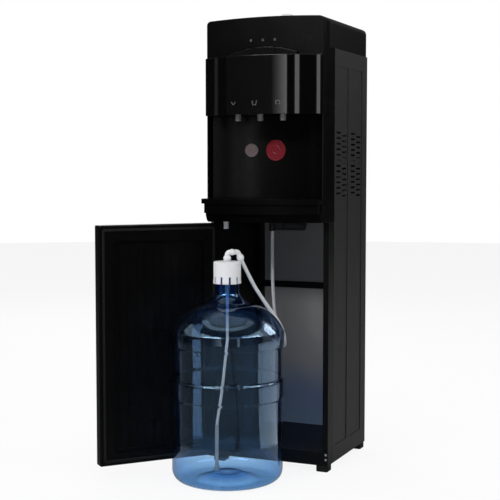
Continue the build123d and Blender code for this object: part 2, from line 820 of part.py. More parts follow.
with BuildPart() as hinge_brackets:
    for plate_z in (lower_plate_z, upper_plate_z):
        with BuildSketch(Plane.XY.offset(plate_z)):
            with Locations((bracket_x, bracket_y)):
                Rectangle(hinge_bracket_width, hinge_bracket_depth, align=(Align.CENTER, Align.MAX))
            with Locations((hinge_x, hinge_y)):
                Circle(hinge_pin_radius, mode=Mode.SUBTRACT)
        extrude(amount=hinge_plate)
    with BuildSketch(Plane.XY.offset(foot_height + face_gap)):
        with Locations((bracket_x, bracket_y)):
            Rectangle(hinge_bracket_width, hinge_flange, align=(Align.CENTER, Align.MAX))
    extrude(amount=lower_plate_z + hinge_plate - foot_height - face_gap)
save(hinge_brackets, "hinge_brackets")

with BuildPart() as hinge_pins:
    with BuildSketch(Plane.XY.offset(lower_plate_z)):
        with Locations((hinge_x, hinge_y)):
            Circle(hinge_pin_radius)
    extrude(amount=door_bottom_z + pin_engagement - lower_plate_z)
    with BuildSketch(Plane.XY.offset(door_top_z - pin_engagement)):
        with Locations((hinge_x, hinge_y)):
            Circle(hinge_pin_radius)
    extrude(amount=upper_plate_z + hinge_plate - door_top_z + pin_engagement)
save(hinge_pins, "hinge_pins")

# ---------------------------------------------------------------- door
door_height = door_top_z - door_bottom_z
door_mid_z = (door_top_z + door_bottom_z) / 2
door_wall = 2.5
door_edge_fillet = 4.0
hinge_boss_radius = 6.5
hinge_boss_height = 18.0
grip_x = door_half_width - 34.0
grip_below_door_top = 171.0
grip_z = door_top_z - grip_below_door_top
grip_width = 22.0
grip_height = 150.0
grip_depth = 16.0

with BuildPart() as door_outer_skin:
    with BuildSketch(Plane.XY.offset(door_bottom_z)):
        with Locations((0, (door_face_y + door_back_y) / 2)):
            Rectangle(2 * door_half_width, door_thickness)
    extrude(amount=door_height)
    fillet(door_outer_skin.edges().filter_by(Axis.Z), door_edge_fillet)
    fillet(door_outer_skin.faces().sort_by(Axis.Y)[0].edges().filter_by(Axis.X), 3.0)
    with BuildSketch(Plane.XZ.offset(-door_back_y)):
        with Locations((0, door_mid_z)):
            Rectangle(2 * (door_half_width - door_wall), door_height - 2 * door_wall)
    extrude(amount=door_thickness - door_wall, mode=Mode.SUBTRACT)
    for boss_z, boss_turn in ((door_bottom_z, 1), (door_top_z, -1)):
        with BuildSketch(Plane.XY.offset(boss_z)):
            with Locations((hinge_x, hinge_y)):
                Circle(hinge_boss_radius)
        extrude(amount=boss_turn * hinge_boss_height)
        with BuildSketch(Plane.XY.offset(boss_z)):
            with Locations((hinge_x, hinge_y)):
                Circle(hinge_pin_radius + hinge_running_gap)
        extrude(amount=boss_turn * (pin_engagement + 1.0), mode=Mode.SUBTRACT)
    with BuildSketch(Plane.XZ.offset(-door_face_y - door_wall)):
        with Locations((grip_x, grip_z)):
            SlotOverall(grip_height, grip_width, rotation=90)
    extrude(amount=2 * door_wall, mode=Mode.SUBTRACT)
save_on_open_door(door_outer_skin, "door_outer_skin")

with BuildPart() as door_grip:
    with BuildSketch(Plane.XZ.offset(-door_face_y - grip_depth)):
        with Locations((grip_x, grip_z)):
            SlotOverall(grip_height - 2 * joint_gap, grip_width - 2 * joint_gap, rotation=90)
    extrude(amount=grip_depth)
    with BuildSketch(Plane.XZ.offset(-door_face_y)):
        with Locations((grip_x, grip_z)):
            SlotOverall(grip_height - 6.0, grip_width - 6.0, rotation=90)
    extrude(amount=-(grip_depth - skin), mode=Mode.SUBTRACT)
save_on_open_door(door_grip, "door_grip")

liner_plate = 3.0
liner_half_width = door_half_width - door_wall - joint_gap
liner_pan_height = door_height - 2 * door_wall - 2 * joint_gap
liner_recess_depth = 10.0
liner_recess_side = 33.0
liner_recess_top = 36.0
liner_recess_bottom = 24.0
recess_mid_z = door_mid_z + (liner_recess_bottom - liner_recess_top) / 2
recess_width = 2 * (liner_half_width - liner_recess_side)
recess_height = liner_pan_height - liner_recess_top - liner_recess_bottom
rib_pitch = 22.0
rib_count = 10
rib_width = 3.0
rib_proud = 2.0
ledge_height = 10.0

with BuildPart() as door_inner_liner:
    with BuildSketch(Plane.XZ.offset(-door_back_y)):
        with Locations((0, door_mid_z)):
            RectangleRounded(2 * liner_half_width, liner_pan_height, 1.5)
    extrude(amount=liner_plate)
    with BuildSketch(Plane.XZ.offset(-door_back_y)):
        with Locations((0, recess_mid_z)):
            RectangleRounded(recess_width + 2 * skin, recess_height + 2 * skin, 12.0 + skin)
    extrude(amount=liner_recess_depth + skin)
    with BuildSketch(Plane.XZ.offset(-door_back_y)):
        with Locations((0, recess_mid_z)):
            RectangleRounded(recess_width, recess_height, 12.0)
    extrude(amount=liner_recess_depth, mode=Mode.SUBTRACT)
    with BuildSketch(Plane.XZ.offset(-door_back_y + liner_recess_depth)):
        with GridLocations(rib_pitch, 0, rib_count, 1):
            with Locations((0, recess_mid_z)):
                Rectangle(rib_width, recess_height - 30.0)
        with Locations((0, recess_mid_z - recess_height / 2 + ledge_height / 2)):
            Rectangle(recess_width - 24.0, ledge_height)
    extrude(amount=-rib_proud)
save_on_open_door(door_inner_liner, "door_inner_liner")

gasket_width = 6.0
gasket_inset = 8.0
with BuildPart() as door_gasket:
    with BuildSketch(Plane.XZ.offset(-(door_back_y + face_gap / 2))):
        with Locations((0, door_mid_z)):
            RectangleRounded(
                2 * (door_half_width - gasket_inset), door_height - 2 * gasket_inset, 8.0
            )
            RectangleRounded(
                2 * (door_half_width - gasket_inset - gasket_width),
                door_height - 2 * (gasket_inset + gasket_width),
                4.0,
                mode=Mode.SUBTRACT,
            )
    extrude(amount=-(door_back_gap - face_gap / 2 - joint_gap))
save_on_open_door(door_gasket, "door_gasket")

door_switch_x = -inner_x + 21.0
door_switch_back = 7.0
with BuildPart() as door_switch:
    with BuildSketch(Plane.XY.offset(deck_z - face_gap)):
        with Locations((door_switch_x, front_y + door_switch_back)):
            Rectangle(9.0, 10.0)
    extrude(amount=-21.0)
save(door_switch, "door_switch")

screw_head_radius = 3.2
screw_rises = (15.0, 27.0)  # above the base pan's underside
deck_screw_xs = (-17.0, 58.0, inner_x - 6.5)
with BuildPart() as panel_screws:
    with BuildSketch(Plane.XZ.offset(-(front_y - face_gap / 2))):
        spots = [(side * (half_width - 5.3), foot_height + z) for side in (-1, 1) for z in screw_rises]
        with Locations(*spots):
            Circle(screw_head_radius)
    extrude(amount=1.3)
    with BuildSketch(Plane.XY.offset(deck_z - face_gap)):
        with Locations(*[(screw_x, front_y + 8.0) for screw_x in deck_screw_xs]):
            Circle(screw_head_radius + 1.0)
    extrude(amount=-3.0)
    with BuildSketch(Plane.XZ.offset(-(rear_y + face_gap))):
        with Locations((0, (base_top_z + panel_top_z) / 2)):
            with GridLocations(cabinet_width - 22.0, (panel_top_z - base_top_z) / 2 - 30.0, 2, 3):
                Circle(screw_head_radius)
    extrude(amount=-1.5)
save(panel_screws, "panel_screws")

# ---------------------------------------------------------------- pump and hose connector
hose_drop_y = front_y + hose_drop_back
connector_radius = 9.0
pump_left_x = hose_drop_x + connector_radius + 2 * joint_gap

with BuildPart() as hose_connector:
    with Locations((hose_drop_x, hose_drop_y, hose_top_z + face_gap)):
        Cylinder(
            connector_radius,
            deck_z - 2 * face_gap - hose_top_z,
            align=(Align.CENTER, Align.CENTER, Align.MIN),
        )
    fillet(hose_connector.edges().filter_by(GeomType.CIRCLE).sort_by(Axis.Z)[0], 2.0)
save(hose_connector, "hose_connector")

pump_length = 82.0
pump_width = 46.0
pump_height = 30.0
with BuildPart() as water_pump:
    with BuildSketch(Plane.XY.offset(deck_z - face_gap)):
        with Locations((pump_left_x, hose_drop_y)):
            Rectangle(pump_length, pump_width, align=(Align.MIN, Align.CENTER))
    extrude(amount=-8.0)
    with BuildSketch(Plane.YZ.offset(pump_left_x + 4.0)):
        with Locations((hose_drop_y, deck_z - face_gap - pump_height / 2)):
            Circle(pump_height / 2)
    extrude(amount=pump_length - 8.0)
    with BuildSketch(Plane.YZ.offset(pump_left_x + 4.0)):
        with Locations((hose_drop_y, deck_z - face_gap - pump_height / 2)):
            Rectangle(pump_width - 6.0, pump_height - 4.0)
    extrude(amount=22.0)
save(water_pump, "water_pump")

# ---------------------------------------------------------------- cooling and heating
compressor_x = pressed_inner_x - 85.0
compressor_y = rear_inner_y - 78.5
compressor_radius = 56.0
compressor_height = 118.0
mount_height = 8.0
mount_x = 58.0
mount_y = 46.0
compressor_foot_z = deck_top_z + mount_height

with BuildPart() as compressor_mounts:
    with Locations((compressor_x, compressor_y, deck_top_z + face_gap)):
        with GridLocations(2 * mount_x, 2 * mount_y, 2, 2):
            Cylinder(
                7.0, mount_height - 2 * face_gap, align=(Align.CENTER, Align.CENTER, Align.MIN)
            )
save(compressor_mounts, "compressor_mounts")

with BuildPart() as compressor:
    with BuildSketch(Plane.XY.offset(compressor_foot_z)):
        with Locations((compressor_x, compressor_y)):
            RectangleRounded(2 * mount_x + 20.0, 2 * mount_y + 18.0, 8.0)
    extrude(amount=2.5)
    with BuildSketch(Plane.XY.offset(compressor_foot_z)):
        with Locations((compressor_x, compressor_y)):
            Circle(compressor_radius)
    extrude(amount=compressor_height)
    fillet(compressor.edges().filter_by(GeomType.CIRCLE).sort_by(Axis.Z)[-1], 26.0)
save(compressor, "compressor")

shelf_flange = 16.0
shelf_headroom = 27.0  # above the compressor's dome
tank_shelf_z = compressor_foot_z + compressor_height + shelf_headroom
tank_shelf_front_y = bay_centre_y + skin + 4.0
with BuildPart() as tank_shelf:
    with BuildSketch(Plane.XY.offset(tank_shelf_z)):
        with Locations((0, tank_shelf_front_y)):
            Rectangle(
                2 * pressed_inner_x,
                rear_inner_y - tank_shelf_front_y,
                align=(Align.CENTER, Align.MIN),
            )
    extrude(amount=-sheet)
    with BuildSketch(Plane.XY.offset(tank_shelf_z)):
        for side in (-1, 1):
            with Locations((side * (pressed_inner_x - sheet / 2), tank_shelf_front_y)):
                Rectangle(
                    sheet, rear_inner_y - tank_shelf_front_y, align=(Align.CENTER, Align.MIN)
                )
    extrude(amount=-shelf_flange)
save(tank_shelf, "tank_shelf")

line_radius = 4.0
line_high_z = bay_top_z + 17.0
line_bend = 18.0
foam_floor = 8.0
tank_wall = 1.2
tank_headroom = 32.0  # under the highest run of the water lines
cold_height = line_high_z - tank_headroom - foam_floor - tank_shelf_z
hot_height = cold_height - 20.0
tank_y = rear_inner_y - 128.5
cold_radius = 0.169 * cabinet_width
hot_radius = 0.143 * cabinet_width
cold_foam = 0.0617 * cabinet_width
hot_foam = 0.052 * cabinet_width
tanks = {
    "cold": {
        "x": cold_radius + cold_foam + 5.8 - pressed_inner_x,
        "radius": cold_radius,
        "height": cold_height,
        "foam": cold_foam,
    },
    "hot": {
        "x": pressed_inner_x - hot_radius - hot_foam - 12.9,
        "radius": hot_radius,
        "height": hot_height,
        "foam": hot_foam,
    },
}
for tank_name, tank in tanks.items():
    with BuildPart() as vessel:
        with Locations((tank["x"], tank_y, tank_shelf_z + foam_floor + 2 * face_gap)):
            Cylinder(
                tank["radius"], tank["height"], align=(Align.CENTER, Align.CENTER, Align.MIN)
            )
        fillet(vessel.edges().filter_by(GeomType.CIRCLE), 8.0)
        offset(amount=-tank_wall, mode=Mode.SUBTRACT)
    save(vessel, f"{tank_name}_tank")

with BuildPart() as tank_jackets:
    for tank in tanks.values():
        with Locations((tank["x"], tank_y, tank_shelf_z + face_gap)):
            Cylinder(
                tank["radius"] + tank["foam"],
                tank["height"] + foam_floor,
                align=(Align.CENTER, Align.CENTER, Align.MIN),
            )
        with Locations((tank["x"], tank_y, tank_shelf_z + foam_floor + face_gap)):
            Cylinder(
                tank["radius"] + joint_gap,
                tank["height"] + foam_floor,
                align=(Align.CENTER, Align.CENTER, Align.MIN),
                mode=Mode.SUBTRACT,
            )
save(tank_jackets, "tank_jackets")

line_ends = {
    "cold": (-tap_pitch, tanks["cold"]["x"] + 10.0, "cold"),
    "room": (0.0, tanks["cold"]["x"] + 36.0, "cold"),
    "hot": (tap_pitch, tanks["hot"]["x"], "hot"),
}
with BuildPart() as water_lines:
    for tap_x, tank_x, tank_name in line_ends.values():
        tank_top_z = tank_shelf_z + foam_floor + 2 * face_gap + tanks[tank_name]["height"]
        start = (tap_x, tap_y, tap_top_z + valve_height + 2 * face_gap)
        with BuildLine() as line_path:
            FilletPolyline(
                start,
                (tap_x, tap_y, line_high_z),
                (tank_x, tank_y, line_high_z),
                (tank_x, tank_y, tank_top_z + face_gap),
                radius=line_bend,
            )
        with BuildSketch(Plane.XY.offset(start[2])):
            with Locations((tap_x, tap_y)):
                Circle(line_radius)
        sweep(path=line_path.line)
save(water_lines, "water_lines")

# ---------------------------------------------------------------- rear fittings
condenser_runs = 12
condenser_z = 180.0
condenser_half_width = 115.0
condenser_tube_radius = 2.5
strip_depth = 9.0
strip_x = 90.0
condenser_y = rear_y + strip_depth + 2 * face_gap + condenser_tube_radius
condenser_top_z = deck_z + 13.0
condenser_pitch = (condenser_top_z - condenser_z) / (condenser_runs - 1)
condenser_bend = 0.45 * condenser_pitch

turns = []
for run in range(condenser_runs):
    run_z = condenser_z + run * condenser_pitch
    first, last = (-1, 1) if run % 2 == 0 else (1, -1)
    turns += [
        (first * condenser_half_width, condenser_y, run_z),
        (last * condenser_half_width, condenser_y, run_z),
    ]
with BuildPart() as condenser_coil:
    with BuildLine() as serpentine:
        FilletPolyline(*turns, radius=condenser_bend)
    with BuildSketch(Plane.YZ.offset(turns[0][0])):
        with Locations((condenser_y, condenser_z)):
            Circle(condenser_tube_radius)
    sweep(path=serpentine.line)
save(condenser_coil, "condenser_coil")

with BuildPart() as condenser_strips:
    with BuildSketch(Plane.XY.offset(condenser_z - 10.0)):
        with Locations((-strip_x, rear_y + face_gap), (strip_x, rear_y + face_gap)):
            Rectangle(8.0, strip_depth, align=(Align.CENTER, Align.MIN))
    extrude(amount=condenser_top_z - condenser_z + 20.0)
save(condenser_strips, "condenser_strips")

wire_radius = 0.8
wire_count = 18
wire_pitch = 11.6
with BuildPart() as condenser_wires:
    with BuildSketch(Plane.XY.offset(condenser_z - 6.0)):
        with Locations((0, condenser_y + condenser_tube_radius + wire_radius + face_gap)):
            with GridLocations(wire_pitch, 0, wire_count, 1):
                Circle(wire_radius)
    extrude(amount=condenser_top_z - condenser_z + 12.0)
save(condenser_wires, "condenser_wires")

rocker_tilt = 8.0
rocker_pivot_y = rear_y + 1.0
switch_body_depth = 20.0
with BuildPart() as switch_plate:
    with BuildSketch(Plane.XZ.offset(-(rear_y + face_gap))):
        with Locations((switch_x, switch_z)):
            RectangleRounded(switch_plate_width, switch_plate_height, 3.0)
    extrude(amount=-switch_plate_thickness)
    with BuildSketch(Plane.XZ.offset(-(rear_y + face_gap))):
        with Locations((switch_x, switch_z)):
            Rectangle(switch_plate_width - 6.0, switch_plate_height - 6.0)
    extrude(amount=switch_body_depth)
    with BuildSketch(Plane.XZ.offset(-(rear_y + face_gap + switch_plate_thickness))):
        with Locations((switch_x, switch_z)):
            with GridLocations(rocker_pitch, 0, 2, 1):
                Rectangle(rocker_width + 2 * joint_gap, rocker_height + 4 * joint_gap)
    extrude(amount=switch_body_depth / 2 + switch_plate_thickness, mode=Mode.SUBTRACT)
save(switch_plate, "switch_plate")

for side, rocker_name in ((-1, "hot"), (1, "cold")):
    rocker_x = switch_x + side * rocker_pitch / 2
    rocker_half = rocker_height / 2 - 0.6
    with BuildPart() as rocker:
        with BuildSketch(Plane.YZ.offset(rocker_x - rocker_width / 2)) as profile:
            with BuildLine():
                face_out = rear_y + face_gap + switch_plate_thickness
                ThreePointArc(
                    (face_out + 3.0, switch_z - rocker_half),
                    (face_out + 0.8, switch_z),
                    (face_out + 3.0, switch_z + rocker_half),
                )
                Polyline(
                    (face_out + 3.0, switch_z + rocker_half),
                    (rocker_pivot_y - 1.0, switch_z + rocker_half - 1.2),
                    (rocker_pivot_y - 4.0, switch_z),
                    (rocker_pivot_y - 1.0, switch_z - rocker_half + 1.2),
                    (face_out + 3.0, switch_z - rocker_half),
                )
            make_face()
        extrude(amount=rocker_width)
    save(rocker, f"rocker_switch_{rocker_name}")

cap_wall = 2.0
drain_cap_length = 14.0
drain_inside = 16.0
drain_outside = 12.0
with BuildPart() as drain_spout:
    with BuildSketch(Plane.XZ.offset(-(rear_y - drain_inside))):
        with Locations((drain_x, drain_z)):
            Circle(drain_radius)
            Circle(drain_radius - 2.5, mode=Mode.SUBTRACT)
    extrude(amount=-(drain_inside + drain_outside))
    with BuildSketch(Plane.XZ.offset(-(rear_y + face_gap))):
        with Locations((drain_x, drain_z)):
            Circle(drain_radius + 5.0)
            Circle(drain_radius - 1.0, mode=Mode.SUBTRACT)
    extrude(amount=-2.0)
save(drain_spout, "drain_spout")

cap_start_y = rear_y + 2.0 + 2 * face_gap
with BuildPart() as drain_cap:
    with BuildSketch(Plane.XZ.offset(-cap_start_y)):
        with Locations((drain_x, drain_z)):
            Circle(drain_radius + hinge_running_gap + cap_wall)
    extrude(amount=-drain_cap_length)
    with BuildSketch(Plane.XZ.offset(-cap_start_y)):
        with Locations((drain_x, drain_z)):
            Circle(drain_radius + hinge_running_gap)
    extrude(amount=-(drain_cap_length - cap_wall), mode=Mode.SUBTRACT)
    chamfer(drain_cap.edges().filter_by(GeomType.CIRCLE).sort_by(Axis.Y)[-1], 1.0)
save(drain_cap, "drain_cap")

with BuildPart() as cord_gland:
    with BuildSketch(Plane.XZ.offset(-(rear_y - 6.0))):
        with Locations((gland_x, drain_z)):
            Circle(gland_radius)
    extrude(amount=-6.0 - face_gap)
    with BuildSketch(Plane.XZ.offset(-(rear_y + face_gap))):
        with Locations((gland_x, drain_z)):
            Circle(gland_radius + 4.0)
    extrude(amount=-6.0)
    fillet(cord_gland.edges().filter_by(GeomType.CIRCLE).sort_by(Axis.Y)[-1], 3.0)
save(cord_gland, "cord_gland")

# ---------------------------------------------------------------- bottle
ring_height = 48.0
upper_ring_height = 34.0
lower_ring_z = 197.0
upper_ring_z = shoulder_z - upper_ring_height
contact_ring = 22.0
ring_slope = 4.0


def bottle_half_profile(inset):
    """Half section of the bottle, drawn inset from its outer surface, closed on the axis."""
    wall_r = bottle_radius - inset
    ring_r = wall_r + bottle_ring
    corner = bottle_corner - inset
    with BuildSketch() as half_section:
        with BuildLine():
            Polyline(
                (0, neck_top_z + inset),
                (0, punt_height + inset),
                (punt_radius, punt_height + inset),
                (wall_r - corner - contact_ring, inset),
                (wall_r - corner, inset),
            )
            RadiusArc((wall_r - corner, inset), (wall_r, inset + corner), -corner)
            Polyline(
                (wall_r, inset + corner),
                (wall_r, lower_ring_z),
                (ring_r, lower_ring_z + ring_slope),
                (ring_r, lower_ring_z + ring_height - ring_slope),
                (wall_r, lower_ring_z + ring_height),
                (wall_r, upper_ring_z),
                (ring_r, upper_ring_z + ring_slope),
                (ring_r, shoulder_z),
            )
            ThreePointArc(
                (ring_r, shoulder_z),
                (dome_mid_radius - 0.7 * inset, shoulder_z + dome_mid_rise - 0.7 * inset),
                (dome_top_radius - 0.3 * inset, shoulder_z + dome_top_rise - inset),
            )
            ThreePointArc(
                (dome_top_radius - 0.3 * inset, shoulder_z + dome_top_rise - inset),
                (neck_foot_radius - 0.7 * inset, shoulder_z + neck_foot_rise - 0.7 * inset),
                (neck_radius - inset, neck_base_z),
            )
            Polyline(
                (neck_radius - inset, neck_base_z),
                (neck_radius - inset, neck_top_z + inset),
                (0, neck_top_z + inset),
            )
        make_face()
    return half_section.sketch


bottle_axis = Axis((bottle_x, bottle_y, 0), (0, 0, 1))
bottle_plane = Plane(origin=(bottle_x, bottle_y, 0), x_dir=(1, 0, 0), z_dir=(0, -1, 0))

with BuildPart() as bottle:
    with BuildSketch(bottle_plane):
        add(bottle_half_profile(0.0))
    revolve(axis=bottle_axis)
    with BuildSketch(bottle_plane):
        add(bottle_half_profile(bottle_wall))
    revolve(axis=bottle_axis, mode=Mode.SUBTRACT)
save(bottle, "bottle")

# ---------------------------------------------------------------- probe cap
cap_inner_radius = neck_radius + cap_running_gap
cap_top_thickness = 6.0
cap_slots = 10
cap_slot_width = 2.6
cap_slot_height = 15.0
cap_seat_inset = 6.0
dip_collar_radius = dip_tube_radius + 3.0

with BuildPart() as bottle_cap:
    with BuildSketch(Plane.XY.offset(cap_bottom_z)):
        with Locations((bottle_x, bottle_y)):
            Circle(cap_radius)
    extrude(amount=cap_top_z - cap_bottom_z)
    fillet(bottle_cap.faces().sort_by(Axis.Z)[-1].edges(), 2.5)
    with BuildSketch(Plane.XY.offset(cap_bottom_z)):
        with Locations((bottle_x, bottle_y)):
            Circle(cap_inner_radius)
    extrude(amount=cap_top_z - cap_bottom_z - cap_top_thickness, mode=Mode.SUBTRACT)
    with BuildSketch(Plane.XY.offset(neck_top_z + joint_gap)):
        with Locations((bottle_x, bottle_y)):
            Circle(cap_inner_radius)
            Circle(neck_radius - cap_seat_inset, mode=Mode.SUBTRACT)
    extrude(amount=cap_top_z - cap_top_thickness - neck_top_z - joint_gap + 0.5)
    with BuildSketch(Plane.XY.offset(cap_bottom_z)):
        with Locations((bottle_x, bottle_y)):
            with PolarLocations(cap_radius - 2.0, cap_slots, start_angle=18.0):
                Rectangle(4 * cap_slot_width, cap_slot_width)
    extrude(amount=cap_slot_height, mode=Mode.SUBTRACT)
    with BuildSketch(Plane.XY.offset(cap_top_z)):
        with Locations((bottle_x, bottle_y)):
            Circle(dip_tube_radius + face_gap)
    extrude(amount=-2 * cap_top_thickness, mode=Mode.SUBTRACT)
save(bottle_cap, "bottle_cap")

# ---------------------------------------------------------------- dip tube and strainer
lean = -23.0
tube_bend_z = 330.0
tube_bend_radius = 150.0
lean_y = -10.0
foot_z = 20.5
tube_points = [
    (bottle_x, bottle_y, cap_top_z - face_gap),
    (bottle_x, bottle_y, tube_bend_z),
    (
        bottle_x + 0.5 * lean,
        bottle_y + 0.5 * lean_y,
        (tube_bend_z + strainer_top_z) / 2 - 18.5,
    ),
    (bottle_x + lean, bottle_y + lean_y, strainer_top_z + face_gap),
]
with BuildPart() as dip_tube:
    with BuildLine() as tube_path:
        FilletPolyline(*tube_points, radius=tube_bend_radius)
    with BuildSketch(Plane.XY.offset(cap_top_z - face_gap)):
        with Locations((bottle_x, bottle_y)):
            Circle(dip_tube_radius)
            Circle(dip_tube_radius - 1.2, mode=Mode.SUBTRACT)
    sweep(path=tube_path.line)
save(dip_tube, "dip_tube")

with BuildPart() as suction_strainer:
    with Locations((bottle_x + lean, bottle_y + lean_y, foot_z)):
        Cylinder(
            strainer_radius,
            strainer_top_z - foot_z - 0.8,
            align=(Align.CENTER, Align.CENTER, Align.MIN),
        )
    with BuildSketch(Plane.XY.offset(foot_z + 10.0)):
        with Locations((bottle_x + lean, bottle_y + lean_y)):
            Circle(strainer_radius + 2.0)
    extrude(amount=-10.0)
save(suction_strainer, "suction_strainer")

# ---------------------------------------------------------------- probe fittings
heading_x = cos(radians(probe_heading))
heading_y = sin(radians(probe_heading))
fitting_radius = 6.0
link_radius = 4.0
fitting_z = cap_top_z + 21.0
outlet_reach = 28.0
outlet_length = 20.0
outlet_dip = 63.0
link_start = 9.0
link_end = 17.0
outlet_direction = Vector(
    heading_x * cos(radians(outlet_dip)), heading_y * cos(radians(outlet_dip)), -sin(radians(outlet_dip))
)


def along_heading(distance, z):
    """Point on the probe's heading, at a distance from the bottle axis."""
    return Vector(bottle_x + heading_x * distance, bottle_y + heading_y * distance, z)


heading = Vector(heading_x, heading_y, 0)
fitting_bend = 7.5
riser_foot = along_heading(0, cap_top_z + face_gap)
outlet_corner = along_heading(outlet_reach, fitting_z)
outlet_mouth = outlet_corner + outlet_direction * outlet_length
elbow_routes = (
    (riser_foot, along_heading(0, fitting_z), along_heading(link_start, fitting_z)),
    (outlet_mouth, outlet_corner, along_heading(link_end + 2 * face_gap, fitting_z)),
)
elbow_starts = (Vector(0, 0, 1), outlet_direction)

with BuildPart() as probe_fittings:
    for elbow_route, start_direction in zip(elbow_routes, elbow_starts):
        with BuildLine() as elbow_path:
            FilletPolyline(*elbow_route, radius=fitting_bend)
        with BuildSketch(Plane(origin=elbow_route[0], z_dir=start_direction)):
            Circle(fitting_radius)
        sweep(path=elbow_path.line)
    with BuildSketch(Plane(origin=along_heading(link_start + face_gap, fitting_z), z_dir=heading)):
        Circle(link_radius)
    extrude(amount=link_end - link_start)
save(probe_fittings, "probe_fittings")

# ---------------------------------------------------------------- supply hose
hose_route = [
    tuple(outlet_mouth + outlet_direction * face_gap),
    tuple(along_heading(dome_top_radius, cap_bottom_z + 2.0)),
    tuple(along_heading(bottle_radius - 30.0, shoulder_z + 63.0)),
    tuple(along_heading(bottle_radius + 21.0, shoulder_z - 1.0)),
    (hose_drop_x + 85.0, front_y + 44.0, hose_top_z - 284.0),
    (hose_drop_x + 37.0, front_y + 116.0, hose_top_z - 282.0),
    (hose_drop_x + 6.0, hose_drop_y - 4.0, hose_top_z - 200.0),
    (hose_drop_x - 1.0, hose_drop_y + 0.5, hose_top_z - 96.0),
    (hose_drop_x, hose_drop_y, hose_top_z),
]


def bend_radii(route):
    """Largest tidy bend at each inner point: 0.45 of the shorter run over tan(half the turn)."""
    radii = []
    for before, here, after in zip(route, route[1:], route[2:]):
        run_in = Vector(*here) - Vector(*before)
        run_out = Vector(*after) - Vector(*here)
        half_turn = radians(run_in.get_angle(run_out)) / 2
        radii.append(0.45 * min(run_in.length, run_out.length) / tan(half_turn))
    return radii


hose_bends = bend_radii(hose_route)
with BuildPart() as supply_hose:
    with BuildLine() as hose_path:
        FilletPolyline(*hose_route, radius=hose_bends)
    with BuildSketch(Plane(origin=hose_route[0], z_dir=outlet_direction)):
        Circle(hose_radius)
    sweep(path=hose_path.line)
save(supply_hose, "supply_hose")

section = pi * hose_radius**2
hose_length = hose_path.wire().length
print("hose bend radii", [round(radius, 1) for radius in hose_bends])
print("hose length", round(hose_length, 1))
print("hose volume / section x length", round(supply_hose.part.volume / section / hose_length, 4))
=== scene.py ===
"""Looks of a bottom load water cooler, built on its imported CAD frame.

The cabinet stands with its bottle door open, and a blue bottle stands in front of
the compartment with its suction probe in the neck and its supply hose led up to the
deck. Every length is in metres in the frame's own axes: +Z up, -Y towards the taps'
user, +X to that person's right.
"""
from __future__ import annotations

import logging
import math
from dataclasses import dataclass
from enum import Enum
from typing import Callable, Sequence

import bmesh
import bpy
from mathutils import Matrix, Vector


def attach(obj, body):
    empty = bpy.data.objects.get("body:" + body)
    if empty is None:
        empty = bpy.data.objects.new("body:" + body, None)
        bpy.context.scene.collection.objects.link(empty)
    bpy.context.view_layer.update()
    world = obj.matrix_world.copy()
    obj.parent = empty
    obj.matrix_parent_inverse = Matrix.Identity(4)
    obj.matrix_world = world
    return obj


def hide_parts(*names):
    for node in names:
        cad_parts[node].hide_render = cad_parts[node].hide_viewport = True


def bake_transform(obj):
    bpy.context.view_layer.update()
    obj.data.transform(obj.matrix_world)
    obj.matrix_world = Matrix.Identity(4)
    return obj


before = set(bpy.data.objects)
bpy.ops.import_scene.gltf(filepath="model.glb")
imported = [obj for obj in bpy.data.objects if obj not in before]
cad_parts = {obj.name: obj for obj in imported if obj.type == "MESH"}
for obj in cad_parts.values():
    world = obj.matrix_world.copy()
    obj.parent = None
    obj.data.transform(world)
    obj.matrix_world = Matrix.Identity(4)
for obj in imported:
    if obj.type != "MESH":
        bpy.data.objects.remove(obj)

LOG = logging.getLogger("water_cooler")

Colour = tuple[float, float, float]
Pair = tuple[float, float]
Triple = tuple[float, float, float]
Form = tuple[list[Vector], list[list[int]]]

MM = 0.001
SHARP_ANGLE = math.radians(42.0)
TINY = 1e-6
BOTTLE_AXIS = (-47.0 * MM, -284.0 * MM)


class Body(str, Enum):
    """Moving bodies of the frame that new pieces ride on."""

    CABINET = "cabinet"
    DOOR = "door"
    BOTTLE = "bottle"
    PROBE = "probe"


class Slot(str, Enum):
    """Material slots that the record names."""

    SATIN_BLACK = "satin_black"
    GLOSS_BLACK = "gloss_black"
    PANEL_BLACK = "panel_black"
    DARK_GREY = "dark_grey"
    LIGHT_GREY = "light_grey"
    WHITE_PLASTIC = "white_plastic"
    RED_PLASTIC = "red_plastic"
    CLEAR_LENS = "clear_lens"
    RUBBER = "rubber"
    ZINC_STEEL = "zinc_steel"
    STAINLESS = "stainless"
    BLACK_WIRE = "black_wire"
    FOAM = "foam"
    CIRCUIT_GREEN = "circuit_green"
    BOTTLE_BLUE = "bottle_blue"
    TUBE_WHITE = "tube_white"


# ---------------------------------------------------------------- shaping helpers


def round_corners(corners: Sequence[Triple], steps: int = 6) -> list[Pair]:
    """Rounds the inner corners of an open outline.

    Args:
        corners: Points as (across, up, corner radius), the ends kept sharp.
        steps: Pieces that each rounding is drawn with.

    Returns:
        The rounded outline's points in order.
    """
    line: list[Pair] = []
    last = len(corners) - 1
    for index, (across, up, radius) in enumerate(corners):
        here = Vector((across, up))
        if radius <= 0 or index in (0, last):
            line.append((across, up))
            continue
        back = Vector(corners[index - 1][:2]) - here
        ahead = Vector(corners[index + 1][:2]) - here
        half = back.angle(ahead) / 2
        reach = min(radius / math.tan(half), 0.48 * back.length, 0.48 * ahead.length)
        bend = reach * math.tan(half)
        middle = (back.normalized() + ahead.normalized()).normalized()
        centre = here + middle * bend / math.sin(half)
        start = here + back.normalized() * reach - centre
        end = here + ahead.normalized() * reach - centre
        line.extend(swing(centre, start, end, steps))
    return line


